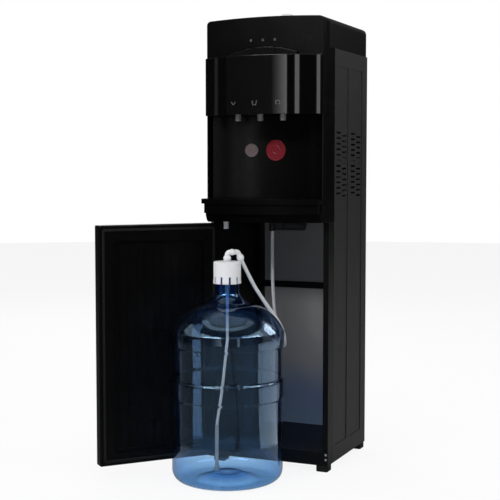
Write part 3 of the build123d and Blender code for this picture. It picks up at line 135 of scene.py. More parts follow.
def swing(centre: Vector, start: Vector, end: Vector, steps: int) -> list[Pair]:
    """Points of the short arc about a centre from one spoke to another.

    Args:
        centre: Centre of the arc.
        start: Spoke to the first point.
        end: Spoke to the last point.
        steps: Pieces that the arc is drawn with.

    Returns:
        The points, with both ends.
    """
    angle = max(start.angle(end), TINY)
    points: list[Pair] = []
    for step in range(steps + 1):
        share = step / steps
        spoke = start * math.sin((1 - share) * angle) + end * math.sin(share * angle)
        point = centre + spoke / math.sin(angle)
        points.append((point.x, point.y))
    return points


def on_circle(radius: float, degrees: float) -> Pair:
    """Point of a circle about the origin."""
    return radius * math.cos(math.radians(degrees)), radius * math.sin(math.radians(degrees))


def standing(foot: Vector, out: Vector) -> Matrix:
    """Frame at a foot, its height axis along a direction."""
    return Matrix.Translation(foot) @ out.to_track_quat("Z", "Y").to_matrix().to_4x4()


def arc_through(first: Pair, middle: Pair, last: Pair, steps: int) -> list[Pair]:
    """Points of the arc through three points, without its first point.

    Args:
        first: Where the arc starts.
        middle: A point that it passes.
        last: Where it ends.
        steps: Pieces that it is drawn with.

    Returns:
        The points after the first, up to the last.
    """
    (ax, ay), (bx, by), (cx, cy) = first, middle, last
    turn = 2 * (ax * (by - cy) + bx * (cy - ay) + cx * (ay - by))
    a_size, b_size, c_size = ax * ax + ay * ay, bx * bx + by * by, cx * cx + cy * cy
    centre = Vector(
        (
            (a_size * (by - cy) + b_size * (cy - ay) + c_size * (ay - by)) / turn,
            (a_size * (cx - bx) + b_size * (ax - cx) + c_size * (bx - ax)) / turn,
        )
    )
    return swing(centre, Vector(first) - centre, Vector(last) - centre, steps)[1:]


def step_in(line: Sequence[Pair], wall: float) -> list[Pair]:
    """Moves a half section's line inwards by a wall.

    Args:
        line: Points as (radius, height), with the outside on their right.
        wall: Distance to move by.

    Returns:
        The moved points, none past the axis.
    """
    moved: list[Pair] = []
    for index, (radius, height) in enumerate(line):
        before = Vector(line[max(index - 1, 0)])
        after = Vector(line[min(index + 1, len(line) - 1)])
        run = (after - before).normalized()
        moved.append((max(radius - run.y * wall, 0.0), height + run.x * wall))
    return moved


def placed(name: str, data: bpy.types.ID) -> bpy.types.Object:
    """Makes an object of some data and links it to the scene.

    Args:
        name: Name of the object.
        data: Its mesh, curve, lamp or camera.

    Returns:
        The object.
    """
    piece = bpy.data.objects.new(name, data)
    bpy.context.scene.collection.objects.link(piece)
    return piece


def shade(mesh: bpy.types.Mesh, smooth: bool = True) -> None:
    """Shades a mesh's faces smooth or flat, with its sharp edges kept."""
    mesh.polygons.foreach_set("use_smooth", [smooth] * len(mesh.polygons))
    mesh.set_sharp_from_angle(angle=SHARP_ANGLE)


def mesh_piece(
    name: str, points: Sequence[Vector], faces: Sequence[Sequence[int]], smooth: bool = True
) -> bpy.types.Object:
    """Makes a mesh object whose faces look outwards.

    Args:
        name: Name of the piece.
        points: Vertices.
        faces: Vertex numbers of each face.
        smooth: Whether the faces are shaded smooth.

    Returns:
        The new object, linked to the scene.
    """
    mesh = bpy.data.meshes.new(name)
    mesh.from_pydata([tuple(point) for point in points], [], [tuple(face) for face in faces])
    build = bmesh.new()
    build.from_mesh(mesh)
    bmesh.ops.recalc_face_normals(build, faces=build.faces[:])
    build.to_mesh(mesh)
    build.free()
    shade(mesh, smooth)
    mesh.update()
    return placed(name, mesh)


def turned(section: Sequence[Pair], place: Matrix, segments: int) -> Form:
    """Turns a half section about its own height axis.

    Args:
        section: Points as (radius, height); a radius of 0 closes the form.
        place: Where the axis's foot and direction go.
        segments: Pieces around the axis.

    Returns:
        The turned form.
    """
    points: list[Vector] = []
    rings: list[list[int]] = []
    for radius, height in section:
        count = segments if radius > TINY else 1
        rings.append(list(range(len(points), len(points) + count)))
        for index in range(count):
            angle = 2 * math.pi * index / segments
            spot = Vector((radius * math.cos(angle), radius * math.sin(angle), height))
            points.append(place @ spot)
    faces: list[list[int]] = []
    for low, high in zip(rings, rings[1:]):
        for index in range(segments):
            after = (index + 1) % segments
            loop = [low[index % len(low)], low[after % len(low)]]
            loop += [high[after % len(high)], high[index % len(high)]]
            corners = list(dict.fromkeys(loop))
            if len(corners) > 2:
                faces.append(corners)
    return points, faces


def prism(outline: Sequence[Pair], low: float, high: float, place: Matrix) -> Form:
    """Closed prism of an outline.

    Args:
        outline: Corners of its section as (x, y).
        low: Height of its first end.
        high: Height of its second end.
        place: Where its foot and direction go.

    Returns:
        The prism.
    """
    count = len(outline)
    points = [place @ Vector((x, y, z)) for z in (low, high) for x, y in outline]
    faces = [list(range(count)), [count + i for i in reversed(range(count))]]
    for i in range(count):
        faces.append([i, (i + 1) % count, count + (i + 1) % count, count + i])
    return points, faces


def gathered(name: str, forms: Sequence[Form], smooth: bool = True) -> bpy.types.Object:
    """Makes one mesh object of several forms.

    Args:
        name: Name of the piece.
        forms: The forms.
        smooth: Whether the faces are shaded smooth.

    Returns:
        The piece.
    """
    points: list[Vector] = []
    faces: list[list[int]] = []
    for spots, loops in forms:
        faces += [[corner + len(points) for corner in loop] for loop in loops]
        points += spots
    return mesh_piece(name, points, faces, smooth)


def lathe(name: str, section: Sequence[Pair], place: Matrix, segments: int) -> bpy.types.Object:
    """A mesh object turned from one half section."""
    return gathered(name, [turned(section, place, segments)])


def cut_away(piece: bpy.types.Object, cutter: bpy.types.Object) -> None:
    """Cuts one piece's form out of another's and drops the cutter.

    Args:
        piece: The piece that keeps the cut.
        cutter: The form to take out of it.
    """
    cut = piece.modifiers.new("cut", "BOOLEAN")
    cut.operation, cut.solver, cut.object = "DIFFERENCE", "EXACT", cutter
    bpy.context.view_layer.update()
    seen = piece.evaluated_get(bpy.context.evaluated_depsgraph_get())
    mesh = bpy.data.meshes.new_from_object(seen)
    piece.modifiers.clear()
    piece.data = mesh
    shade(mesh)
    bpy.data.objects.remove(cutter)


def sweep_tube(
    name: str, path: Sequence[Vector], radius: float, bore: float, sides: int
) -> bpy.types.Object:
    """Sweeps a hollow round section along a path.

    Args:
        name: Name of the piece.
        path: Points of the centreline.
        radius: Outer radius.
        bore: Inner radius, drawn a short way in from each end.
        sides: Pieces around the section.

    Returns:
        The tube, closed by an annular face and a bore at each end.
    """
    headings = [
        (path[min(i + 1, len(path) - 1)] - path[max(i - 1, 0)]).normalized()
        for i in range(len(path))
    ]
    side = headings[0].orthogonal().normalized()
    spokes: list[tuple[Vector, Vector]] = []
    for heading in headings:
        side = (side - heading * side.dot(heading)).normalized()
        spokes.append((side, heading.cross(side)))
    stations = [(0, bore, 6 * bore), (0, bore, 0.0)]
    stations += [(i, radius, 0.0) for i in range(len(path))]
    stations += [(len(path) - 1, bore, 0.0), (len(path) - 1, bore, -6 * bore)]
    points: list[Vector] = []
    for at, size, inset in stations:
        across, up = spokes[at]
        for index in range(sides):
            angle = 2 * math.pi * index / sides
            spoke = across * math.cos(angle) + up * math.sin(angle)
            points.append(path[at] + headings[at] * inset + spoke * size)
    faces = [
        (row * sides + i, row * sides + (i + 1) % sides,
         (row + 1) * sides + (i + 1) % sides, (row + 1) * sides + i)
        for row in range(len(stations) - 1)
        for i in range(sides)
    ]
    faces.append(tuple(range(sides)))
    faces.append(tuple(range(len(points) - sides, len(points))))
    return mesh_piece(name, points, faces)


def spline_points(name: str, route: Sequence[Triple], per_span: int) -> list[Vector]:
    """Reads the points of a smooth NURBS spline from Blender.

    Args:
        name: Name of the short-lived curve.
        route: Control points.
        per_span: Points that Blender puts out for each span.

    Returns:
        The spline's points in order.
    """
    curve = bpy.data.curves.new(name, "CURVE")
    curve.dimensions = "3D"
    curve.resolution_u = per_span
    spline = curve.splines.new("NURBS")
    spline.points.add(len(route) - 1)
    for point, spot in zip(spline.points, route):
        point.co = (*spot, 1.0)
    spline.order_u = 3
    spline.use_endpoint_u = True
    holder = placed(name, curve)
    bpy.context.view_layer.update()
    line = bpy.data.meshes.new_from_object(holder)
    points = [vertex.co.copy() for vertex in line.vertices]
    bpy.data.objects.remove(holder)
    bpy.data.curves.remove(curve)
    bpy.data.meshes.remove(line)
    return points


def ribbon(
    line: Sequence[Pair], width: float, onto: Callable[[float, float, float], Vector], thick: float
) -> Form:
    """Lays a thin flat stroke on a surface.

    Args:
        line: The stroke's middle as (across, up).
        width: Width of the stroke.
        onto: Puts (across, up, height above the surface) on the surface.
        thick: How far the stroke stands proud.

    Returns:
        Vertices, and faces that close the stroke.
    """
    points: list[Vector] = []
    for index, spot in enumerate(line):
        run_in = Vector(spot) - Vector(line[max(index - 1, 0)])
        run_out = Vector(line[min(index + 1, len(line) - 1)]) - Vector(spot)
        run = (run_in.normalized() + run_out.normalized()).normalized()
        ease = max(run.dot((run_out if run_out.length else run_in).normalized()), 0.5)
        side = Vector((-run.y, run.x)) * width / 2 / ease
        for across, up in ((spot[0] + side.x, spot[1] + side.y), (spot[0] - side.x, spot[1] - side.y)):
            points.append(onto(across, up, thick))
            points.append(onto(across, up, -0.5 * thick))
    faces: list[list[int]] = []
    for index in range(len(line) - 1):
        a = 4 * index
        faces += [[a, a + 2, a + 6, a + 4], [a + 1, a + 5, a + 7, a + 3]]
        faces += [[a, a + 4, a + 5, a + 1], [a + 2, a + 3, a + 7, a + 6]]
    end = 4 * (len(line) - 1)
    faces += [[0, 1, 3, 2], [end, end + 2, end + 3, end + 1]]
    return points, faces


# ---------------------------------------------------------------- node wiring


class Wiring:
    """Adds nodes to one shader tree and joins them."""

    def __init__(self, tree: bpy.types.NodeTree) -> None:
        """Starts with an empty tree."""
        self.tree = tree
        tree.nodes.clear()

    def node(self, kind: str, inputs: dict | None = None, **settings: object) -> bpy.types.Node:
        """Adds a node.

        Args:
            kind: Blender's name of the node type.
            inputs: Values for its inputs, a socket being linked.
            **settings: Properties of the node.

        Returns:
            The node.
        """
        made = self.tree.nodes.new(kind)
        for key, value in settings.items():
            setattr(made, key, value)
        for key, value in (inputs or {}).items():
            if isinstance(value, bpy.types.NodeSocket):
                self.tree.links.new(value, made.inputs[key])
            else:
                made.inputs[key].default_value = value
        return made

    def place(self) -> bpy.types.NodeSocket:
        """Place on the object, in its own axes."""
        return self.node("ShaderNodeTexCoord").outputs["Object"]

    def axes(self, vector: object) -> bpy.types.NodeOutputs:
        """The X, Y and Z of a vector."""
        return self.node("ShaderNodeSeparateXYZ", {0: vector}).outputs

    def show(self, shader: bpy.types.Node) -> None:
        """Joins a shader to the material's output."""
        self.node("ShaderNodeOutputMaterial", {"Surface": shader.outputs[0]})

    def maths(self, operation: str, *values: object, clamp: bool = False) -> bpy.types.NodeSocket:
        """Result of one arithmetic step on sockets or numbers."""
        inputs = dict(enumerate(values))
        return self.node("ShaderNodeMath", inputs, operation=operation, use_clamp=clamp).outputs[0]

    def blend(self, share: object, first: object, second: object) -> bpy.types.NodeSocket:
        """Colour between two colours by a share."""
        made = self.node("ShaderNodeMix", {0: share, 6: first, 7: second}, data_type="RGBA")
        return made.outputs[2]

    def spread(self, value: object, low: float, high: float) -> bpy.types.NodeSocket:
        """Value stretched so that low gives 0 and high gives 1."""
        inputs = {"Value": value, "From Min": low, "From Max": high}
        return self.node("ShaderNodeMapRange", inputs, clamp=True).outputs[0]

    def stretched(self, where: object, upright: float) -> bpy.types.NodeSocket:
        """Place whose height is scaled, which draws a pattern out upright."""
        inputs = {"Vector": where, "Scale": (1.0, 1.0, upright)}
        return self.node("ShaderNodeMapping", inputs).outputs[0]

    def noise(self, where: object, scale: object, detail: float) -> bpy.types.NodeSocket:
        """Cloudy value at a place."""
        inputs = {"Vector": where, "Scale": scale, "Detail": detail, "Roughness": 0.58}
        return self.node("ShaderNodeTexNoise", inputs).outputs[0]


class SocketKind(str, Enum):
    """Kinds of socket that the shared effects use."""

    NUMBER = "NodeSocketFloat"
    COLOUR = "NodeSocketColor"


NUMBER, COLOUR = SocketKind.NUMBER, SocketKind.COLOUR
SKIN_RESULTS = {"Colour": COLOUR, "Roughness": NUMBER, "Height": NUMBER}
DUST_COLOUR = (0.4, 0.385, 0.36, 1.0)


def rgba(colour: Colour) -> tuple[float, float, float, float]:
    """Colour with full alpha."""
    return (*colour, 1.0)


def grey(tone: float) -> tuple[float, float, float, float]:
    """Grey with full alpha."""
    return rgba((tone, tone, tone))


class Effects:
    """The surface effects that several finishes share, as node groups.

    A noise here is its scale and detail, and a span is the two values that are
    stretched to 0 and 1.
    """

    speck_noise: Pair = (70.0, 6.0)
    stain_noise: Pair = (26.0, 5.0)
    cloud_span: Pair = (0.38, 0.68)
    speck_span: Pair = (0.4, 0.72)
    stain_span: Pair = (0.5, 0.75)
    upward_span: Pair = (0.55, 0.97)
    punt_span: Pair = (0.034, 0.01)
    foot_span: Pair = (-0.02, 0.05)
    neck_span: Pair = (-0.05, 0.02)
    dust_roughness: float = 0.4
    line_roughness: float = 0.25
    stain_roughness: float = 0.3
    line_stretch: float = 0.03
    ripple_stretch: float = 0.35

    def __init__(self) -> None:
        """Builds each group once."""
        self.aged_surface = self._aged_surface()
        self.brushing = self._brushing()
        self.blown_wall = self._blown_wall()

    @staticmethod
    def _open(name: str, inputs: dict[str, SocketKind], outputs: dict[str, SocketKind]) -> Wiring:
        """Makes an empty group.

        Args:
            name: Name of the group.
            inputs: Names and kinds of its inputs.
            outputs: Names and kinds of its outputs.

        Returns:
            The wiring of the group's tree.
        """
        tree = bpy.data.node_groups.new(name, "ShaderNodeTree")
        for direction, sockets in (("INPUT", inputs), ("OUTPUT", outputs)):
            for label, kind in sockets.items():
                tree.interface.new_socket(name=label, in_out=direction, socket_type=kind.value)
        return Wiring(tree)

    def _aged_surface(self) -> bpy.types.NodeTree:
        """Moulded or painted skin: clouded colour, handling marks, grain and settled dust.

        Returns:
            The group's tree.
        """
        inputs = {
            "Colour": COLOUR, "Drift Colour": COLOUR, "Drift": NUMBER, "Drift Scale": NUMBER,
            "Roughness": NUMBER, "Roughness Drift": NUMBER, "Grain Scale": NUMBER, "Dust": NUMBER,
        }
        wiring = self._open("aged_surface", inputs, SKIN_RESULTS)
        given = wiring.node("NodeGroupInput").outputs
        where = wiring.place()
        clouds = wiring.noise(where, given["Drift Scale"], 4.0)
        share = wiring.maths("MULTIPLY", wiring.spread(clouds, *self.cloud_span), given["Drift"])
        base = wiring.blend(share, given["Colour"], given["Drift Colour"])
        normal = wiring.node("ShaderNodeNewGeometry").outputs["Normal"]
        up = wiring.axes(normal)["Z"]
        specks = wiring.spread(wiring.noise(where, *self.speck_noise), *self.speck_span)
        settled = wiring.maths("MULTIPLY", wiring.spread(up, *self.upward_span), specks)
        dust = wiring.maths("MULTIPLY", settled, given["Dust"])
        dusted = wiring.blend(dust, base, DUST_COLOUR)
        marks = wiring.noise(where, wiring.maths("MULTIPLY", given["Drift Scale"], 2.7), 5.0)
        drifted = wiring.maths("MULTIPLY", wiring.maths("SUBTRACT", marks, 0.5), given["Roughness Drift"])
        rough = wiring.maths("ADD", given["Roughness"], drifted)
        dulled = wiring.maths("MULTIPLY", dust, self.dust_roughness)
        rougher = wiring.maths("ADD", rough, dulled, clamp=True)
        grain = wiring.noise(where, given["Grain Scale"], 2.0)
        wiring.node("NodeGroupOutput", {"Colour": dusted, "Roughness": rougher, "Height": grain})
        return wiring.tree

    def _brushing(self) -> bpy.types.NodeTree:
        """Drawn or brushed metal: fine lines along one axis and faint stains.

        Returns:
            The group's tree.
        """
        inputs = {
            "Colour": COLOUR, "Stain Colour": COLOUR, "Stain": NUMBER,
            "Roughness": NUMBER, "Line Scale": NUMBER,
        }
        wiring = self._open("brushing", inputs, SKIN_RESULTS)
        given = wiring.node("NodeGroupInput").outputs
        where = wiring.place()
        drawn = wiring.stretched(where, self.line_stretch)
        lines = wiring.noise(drawn, given["Line Scale"], 3.0)
        stains = wiring.spread(wiring.noise(where, *self.stain_noise), *self.stain_span)
        share = wiring.maths("MULTIPLY", stains, given["Stain"])
        colour_out = wiring.blend(share, given["Colour"], given["Stain Colour"])
        centred = wiring.maths("SUBTRACT", lines, 0.5)
        lifted = wiring.maths("MULTIPLY", centred, self.line_roughness)
        rough = wiring.maths("ADD", given["Roughness"], lifted)
        marked = wiring.maths("MULTIPLY", share, self.stain_roughness)
        stained = wiring.maths("ADD", rough, marked, clamp=True)
        wiring.node("NodeGroupOutput", {"Colour": colour_out, "Roughness": stained, "Height": lines})
        return wiring.tree

    def _blown_wall(self) -> bpy.types.NodeTree:
        """Blow-moulded wall: own tints at the foot, punt, body and neck, and slow ripples.

        Returns:
            The group's tree.
        """
        colours = ("Foot Colour", "Punt Colour", "Body Colour", "Neck Colour")
        numbers = ("Foot Top", "Neck Base", "Ripple Scale", "Axis X", "Axis Y", "Punt Radius")
        inputs = dict.fromkeys(colours, COLOUR) | dict.fromkeys(numbers, NUMBER)
        wiring = self._open("blown_wall", inputs, {"Colour": COLOUR, "Height": NUMBER})
        given = wiring.node("NodeGroupInput").outputs
        where = wiring.place()
        place = wiring.axes(where)
        off_x = wiring.maths("SUBTRACT", place["X"], given["Axis X"])
        off_y = wiring.maths("SUBTRACT", place["Y"], given["Axis Y"])
        squared = wiring.maths("ADD", wiring.maths("MULTIPLY", off_x, off_x),
                               wiring.maths("MULTIPLY", off_y, off_y))
        off_ring = wiring.maths("SUBTRACT", wiring.maths("SQRT", squared), given["Punt Radius"])
        on_ring = wiring.spread(wiring.maths("ABSOLUTE", off_ring), *self.punt_span)
        foot = wiring.blend(on_ring, given["Foot Colour"], given["Punt Colour"])
        above_foot = wiring.maths("SUBTRACT", place["Z"], given["Foot Top"])
        above_base = wiring.maths("SUBTRACT", place["Z"], given["Neck Base"])
        body = wiring.blend(wiring.spread(above_foot, *self.foot_span), foot, given["Body Colour"])
        tint = wiring.blend(wiring.spread(above_base, *self.neck_span), body, given["Neck Colour"])
        flowing = wiring.stretched(where, self.ripple_stretch)
        ripple = wiring.noise(flowing, given["Ripple Scale"], 1.5)
        wiring.node("NodeGroupOutput", {"Colour": tint, "Height": ripple})
        return wiring.tree


# ---------------------------------------------------------------- finishes


def new_material(name: str) -> tuple[bpy.types.Material, Wiring]:
    """Makes an empty material.

    Args:
        name: Name of the material.

    Returns:
        The material and its wiring.
    """
    material = bpy.data.materials.new(name)
    material.use_nodes = True
    return material, Wiring(material.node_tree)


@dataclass(frozen=True)
class Finish:
    """A moulded, painted or rubber surface."""

    name: str
    colour: Colour
    roughness: float
    specular: float = 0.5
    coat: float = 0.0
    drift_colour: Colour = (0.03, 0.03, 0.03)
    drift: float = 0.2
    drift_scale: float = 7.0
    roughness_drift: float = 0.1
    grain_scale: float = 1500.0
    grain_depth: float = 0.02 * MM
    dust: float = 0.0
    soft_edge: float = 0.7 * MM

    def make(self, effects: Effects) -> bpy.types.Material:
        """Builds the finish's material.

        Args:
            effects: The shared node groups.

        Returns:
            The material.
        """
        material, wiring = new_material(self.name)
        values = {
            "Colour": rgba(self.colour), "Drift Colour": rgba(self.drift_colour),
            "Drift": self.drift, "Drift Scale": self.drift_scale,
            "Roughness": self.roughness, "Roughness Drift": self.roughness_drift,
            "Grain Scale": self.grain_scale, "Dust": self.dust,
        }
        skin = wiring.node("ShaderNodeGroup", values, node_tree=effects.aged_surface)
        normal = self._normal(wiring, skin.outputs["Height"])
        surface = wiring.node(
            "ShaderNodeBsdfPrincipled",
            {
                "Base Color": skin.outputs["Colour"], "Roughness": skin.outputs["Roughness"],
                "Specular IOR Level": self.specular, "Coat Weight": self.coat, "Normal": normal,
            },
        )
        wiring.show(surface)
        return material

    def _normal(self, wiring: Wiring, height: bpy.types.NodeSocket) -> bpy.types.NodeSocket:
        """Lays grain over softened edges.

        Args:
            wiring: Wiring of the material.
            height: Height of the grain.

        Returns:
            The normal.
        """
        soft = wiring.node("ShaderNodeBevel", {"Radius": self.soft_edge}, samples=4)
        inputs = {"Distance": self.grain_depth, "Height": height, "Normal": soft.outputs[0]}
        return wiring.node("ShaderNodeBump", inputs).outputs[0]


@dataclass(frozen=True)
class MetalFinish(Finish):
    """Bare or plated metal with drawing lines."""

    stain: float = 0.25
    line_scale: float = 900.0

    def make(self, effects: Effects) -> bpy.types.Material:
        """Builds the metal's material.

        Args:
            effects: The shared node groups.

        Returns:
            The material.
        """
        material, wiring = new_material(self.name)
        values = {
            "Colour": rgba(self.colour), "Stain Colour": rgba(self.drift_colour),
            "Stain": self.stain, "Roughness": self.roughness, "Line Scale": self.line_scale,
        }
        lines = wiring.node("ShaderNodeGroup", values, node_tree=effects.brushing)
        surface = wiring.node(
            "ShaderNodeBsdfPrincipled",
            {
                "Base Color": lines.outputs["Colour"], "Roughness": lines.outputs["Roughness"],
                "Metallic": 1.0, "Normal": self._normal(wiring, lines.outputs["Height"]),
            },
        )
        wiring.show(surface)
        return material


@dataclass(frozen=True)
class ClearFinish(Finish):
    """Tinted see-through plastic whose shadow stays light."""

    foot_colour: Colour = (0.5, 0.6, 0.7)
    punt_colour: Colour = (0.3, 0.4, 0.6)
    axis: Pair = (0.0, 0.0)
    punt_radius: float = 1.0
    mirror_tint: Colour = (1.0, 1.0, 1.0)
    edge_colour: Colour = (0.3, 0.4, 0.6)
    neck_colour: Colour = (0.5, 0.6, 0.8)
    foot_top: float = 0.0
    neck_base: float = 1.0
    ripple_scale: float = 30.0
    refraction: float = 1.58

    def make(self, effects: Effects) -> bpy.types.Material:
        """Builds the clear plastic's material.

        Args:
            effects: The shared node groups.

        Returns:
            The material.
        """
        material, wiring = new_material(self.name)
        values = {
            "Foot Colour": rgba(self.foot_colour), "Punt Colour": rgba(self.punt_colour),
            "Body Colour": rgba(self.colour), "Neck Colour": rgba(self.neck_colour),
            "Foot Top": self.foot_top, "Neck Base": self.neck_base,
            "Ripple Scale": self.ripple_scale, "Axis X": self.axis[0], "Axis Y": self.axis[1],
            "Punt Radius": self.punt_radius,
        }
        wall = wiring.node("ShaderNodeGroup", values, node_tree=effects.blown_wall)
        ripples = wiring.node(
            "ShaderNodeBump", {"Distance": self.grain_depth, "Height": wall.outputs["Height"]}
        )
        grazing = wiring.node("ShaderNodeLayerWeight", {"Blend": 0.35}).outputs["Facing"]
        tint = wiring.blend(grazing, wall.outputs["Colour"], rgba(self.edge_colour))
        surface = wiring.node(
            "ShaderNodeBsdfPrincipled",
            {
                "Base Color": tint, "Roughness": self.roughness,
                "IOR": self.refraction, "Transmission Weight": 1.0,
                "Specular IOR Level": self.specular, "Specular Tint": rgba(self.mirror_tint),
                "Normal": ripples.outputs[0],
            },
        )
        passing = wiring.node("ShaderNodeBsdfTransparent", {"Color": wall.outputs["Colour"]})
        shadow = wiring.node("ShaderNodeLightPath").outputs["Is Shadow Ray"]
        both = wiring.node(
            "ShaderNodeMixShader", {0: shadow, 1: surface.outputs[0], 2: passing.outputs[0]}
        )
        wiring.show(both)
        return material


def black(name: str, tone: float, roughness: float, **more: object) -> Finish:
    """Black plastic or paint of one tone.

    Args:
        name: Name of the finish.
        tone: Brightness of the pigment.
        roughness: Roughness of the skin.
        **more: Other fields of the finish.

    Returns:
        The finish.
    """
    drifted = (tone * 1.7, tone * 1.7, tone * 1.75)
    return Finish(name, (tone, tone, tone * 1.04), roughness, drift_colour=drifted, **more)


FINISHES: dict[Slot, Finish] = {
    Slot.SATIN_BLACK: black("satin_black_plastic", 0.0025, 0.36, specular=0.12, dust=0.02),
    Slot.GLOSS_BLACK: black(
        "gloss_black_plastic", 0.0015, 0.045, roughness_drift=0.02, grain_depth=0.001 * MM,
        grain_scale=220.0,
    ),
    Slot.PANEL_BLACK: black(
        "painted_black_sheet", 0.0135, 0.5, specular=0.22, grain_scale=900.0,
        grain_depth=0.03 * MM, dust=0.04,
    ),
    Slot.DARK_GREY: black("dark_grey_plastic", 0.02, 0.34, specular=0.35),
    Slot.LIGHT_GREY: Finish(
        "light_grey_plastic", (0.6, 0.615, 0.62), 0.36, drift_colour=(0.5, 0.51, 0.5), dust=0.1
    ),
    Slot.WHITE_PLASTIC: Finish(
        "white_moulded_plastic", (0.79, 0.8, 0.82), 0.32, drift_colour=(0.7, 0.7, 0.68),
        drift=0.35, drift_scale=22.0, dust=0.08,
    ),
    Slot.RED_PLASTIC: Finish(
        "red_moulded_plastic", (0.18, 0.008, 0.016), 0.3, specular=0.25,
        drift_colour=(0.15, 0.006, 0.012), drift_scale=40.0,
    ),
    Slot.CLEAR_LENS: Finish(
        "smoked_lens", (0.09, 0.085, 0.09), 0.12, drift_colour=(0.07, 0.065, 0.065), coat=0.3,
        soft_edge=0.3 * MM,
    ),
    Slot.RUBBER: black("black_rubber", 0.006, 0.72, specular=0.2, grain_depth=0.05 * MM, dust=0.1),
    Slot.ZINC_STEEL: MetalFinish(
        "zinc_plated_steel", (0.6, 0.6, 0.59), 0.36, drift_colour=(0.35, 0.34, 0.3), stain=0.45,
        soft_edge=0.3 * MM,
    ),
    Slot.STAINLESS: MetalFinish(
        "brushed_stainless", (0.62, 0.615, 0.6), 0.28, drift_colour=(0.4, 0.38, 0.34)
    ),
    Slot.BLACK_WIRE: black(
        "black_enamelled_steel", 0.011, 0.36, soft_edge=0.2 * MM, dust=0.25, drift_scale=30.0
    ),
    # Painted shade: the tanks' foam jackets are made near black so that the side vents read as the shade
    # behind them.
    Slot.FOAM: Finish(
        "foam_darkened_as_shade", (0.035, 0.035, 0.036), 0.85, specular=0.2, drift_colour=(0.05, 0.05, 0.05),
        drift=0.6, drift_scale=16.0, grain_scale=420.0, grain_depth=0.3 * MM,
    ),
    Slot.CIRCUIT_GREEN: Finish(
        "green_circuit_lacquer", (0.02, 0.15, 0.06), 0.3, drift_colour=(0.03, 0.2, 0.08),
        drift_scale=90.0, coat=0.4,
    ),
    Slot.BOTTLE_BLUE: ClearFinish(
        "blue_bottle_wall", (0.7, 0.8, 0.92), 0.02, grain_depth=0.6 * MM,
        foot_colour=(0.4, 0.63, 0.87), punt_colour=(0.05, 0.2, 0.52),
        neck_colour=(0.1, 0.36, 0.82), edge_colour=(0.14, 0.34, 0.66),
        mirror_tint=(0.5, 0.76, 1.0), foot_top=0.04, neck_base=0.425, ripple_scale=24.0,
        axis=BOTTLE_AXIS, punt_radius=0.03,
    ),
    Slot.TUBE_WHITE: Finish(
        "white_tube", (0.74, 0.75, 0.76), 0.3, drift_colour=(0.66, 0.66, 0.64), drift=0.4,
        drift_scale=34.0, soft_edge=0.2 * MM,
    ),
}

BUTTON_FINISH = black("button_plastic", 0.003, 0.14, specular=0.4, soft_edge=0.5 * MM)
TRAY_FINISH = black("tray_moulding", 0.001, 0.42, specular=0.05)

SPECIAL_FINISHES: dict[str, Finish] = {
    "upper_fascia": black("moulded_fascia", 0.0012, 0.26, specular=0.13, dust=0.02),
    "dispensing_bay": black("bay_lining", 0.0015, 0.28, specular=0.14),
    "door_inner_liner": black("door_lining", 0.0013, 0.3, specular=0.12, roughness_drift=0.16),
    "push_button_cold": BUTTON_FINISH,
    "push_button_room": BUTTON_FINISH,
    "push_button_hot": BUTTON_FINISH,
    "suction_strainer": Finish(
        "strainer_plastic", (0.3, 0.28, 0.26), 0.4, drift_colour=(0.24, 0.23, 0.21),
        drift_scale=40.0,
    ),
    "dip_tube": Finish(
        "dip_tube_plastic", (0.5, 0.455, 0.41), 0.32, drift_colour=(0.43, 0.39, 0.35), drift=0.4,
        drift_scale=34.0, soft_edge=0.2 * MM,
    ),
    # Painted shade: the back wall gets a mid grey, darker than its own light grey, standing for the shade
    # inside the compartment; its clouded drift is its own.
    "inner_back_wall": Finish(
        "compartment_wall_darkened_as_shade", (0.25, 0.245, 0.235), 0.5, specular=0.3,
        drift_colour=(0.2, 0.196, 0.187), drift=0.5, drift_scale=5.0, dust=0.05,
    ),
    "round_badge_small": Finish(
        "grey_badge", (0.13, 0.095, 0.1), 0.34, specular=0.3, drift_colour=(0.1, 0.075, 0.08),
        drift_scale=40.0,
    ),
    "tap_nozzles": Finish(
        "tap_plastic", (0.15, 0.15, 0.148), 0.3, drift_colour=(0.12, 0.12, 0.117),
        soft_edge=0.4 * MM,
    ),
    "tap_valves": Finish("valve_nylon", (0.7, 0.7, 0.67), 0.4, drift_colour=(0.6, 0.59, 0.54)),
    "tray_shelf": TRAY_FINISH,
    "drip_tray": TRAY_FINISH,
    # Painted shade: the zinc-plated tank shelf is made black so that it reads as the shade behind the
    # side vents.
    "tank_shelf": black("shelf_darkened_as_shade", 0.012, 0.5, specular=0.2),
}


class Wardrobe:
    """Makes each finish once and hands it out."""

    def __init__(self) -> None:
        """Builds the shared effects, and no material yet."""
        self.effects = Effects()
        self.made: dict[str, bpy.types.Material] = {}

    def material(self, finish: Finish) -> bpy.types.Material:
        """Looks up a finish's material, and builds it the first time.

        Args:
            finish: The finish.

        Returns:
            Its material.
        """
        if finish.name not in self.made:
            self.made[finish.name] = finish.make(self.effects)
        return self.made[finish.name]

    def dress(self, piece: bpy.types.Object, slot: Slot, finish: Finish | None = None) -> None:
        """Gives a new piece its finish.

        Args:
            piece: The piece.
            slot: The record's slot.
            finish: A finish of its own, or none for the slot's.
        """
        piece.data.materials.clear()
        piece.data.materials.append(self.material(finish or FINISHES[slot]))


def seat(piece: bpy.types.Object, body: Body, *nodes: str) -> None:
    """Rides a piece on a body and lets it stand for CAD nodes.

    Args:
        piece: The finished piece.
        body: The body that carries it.
        *nodes: CAD nodes that it stands for.
    """
    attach(piece, body.value)
    if nodes:
        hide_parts(*nodes)
    LOG.info("%s rides on %s and stands for %s", piece.name, body.value, list(nodes) or "itself")


# ---------------------------------------------------------------- the cooler's pieces


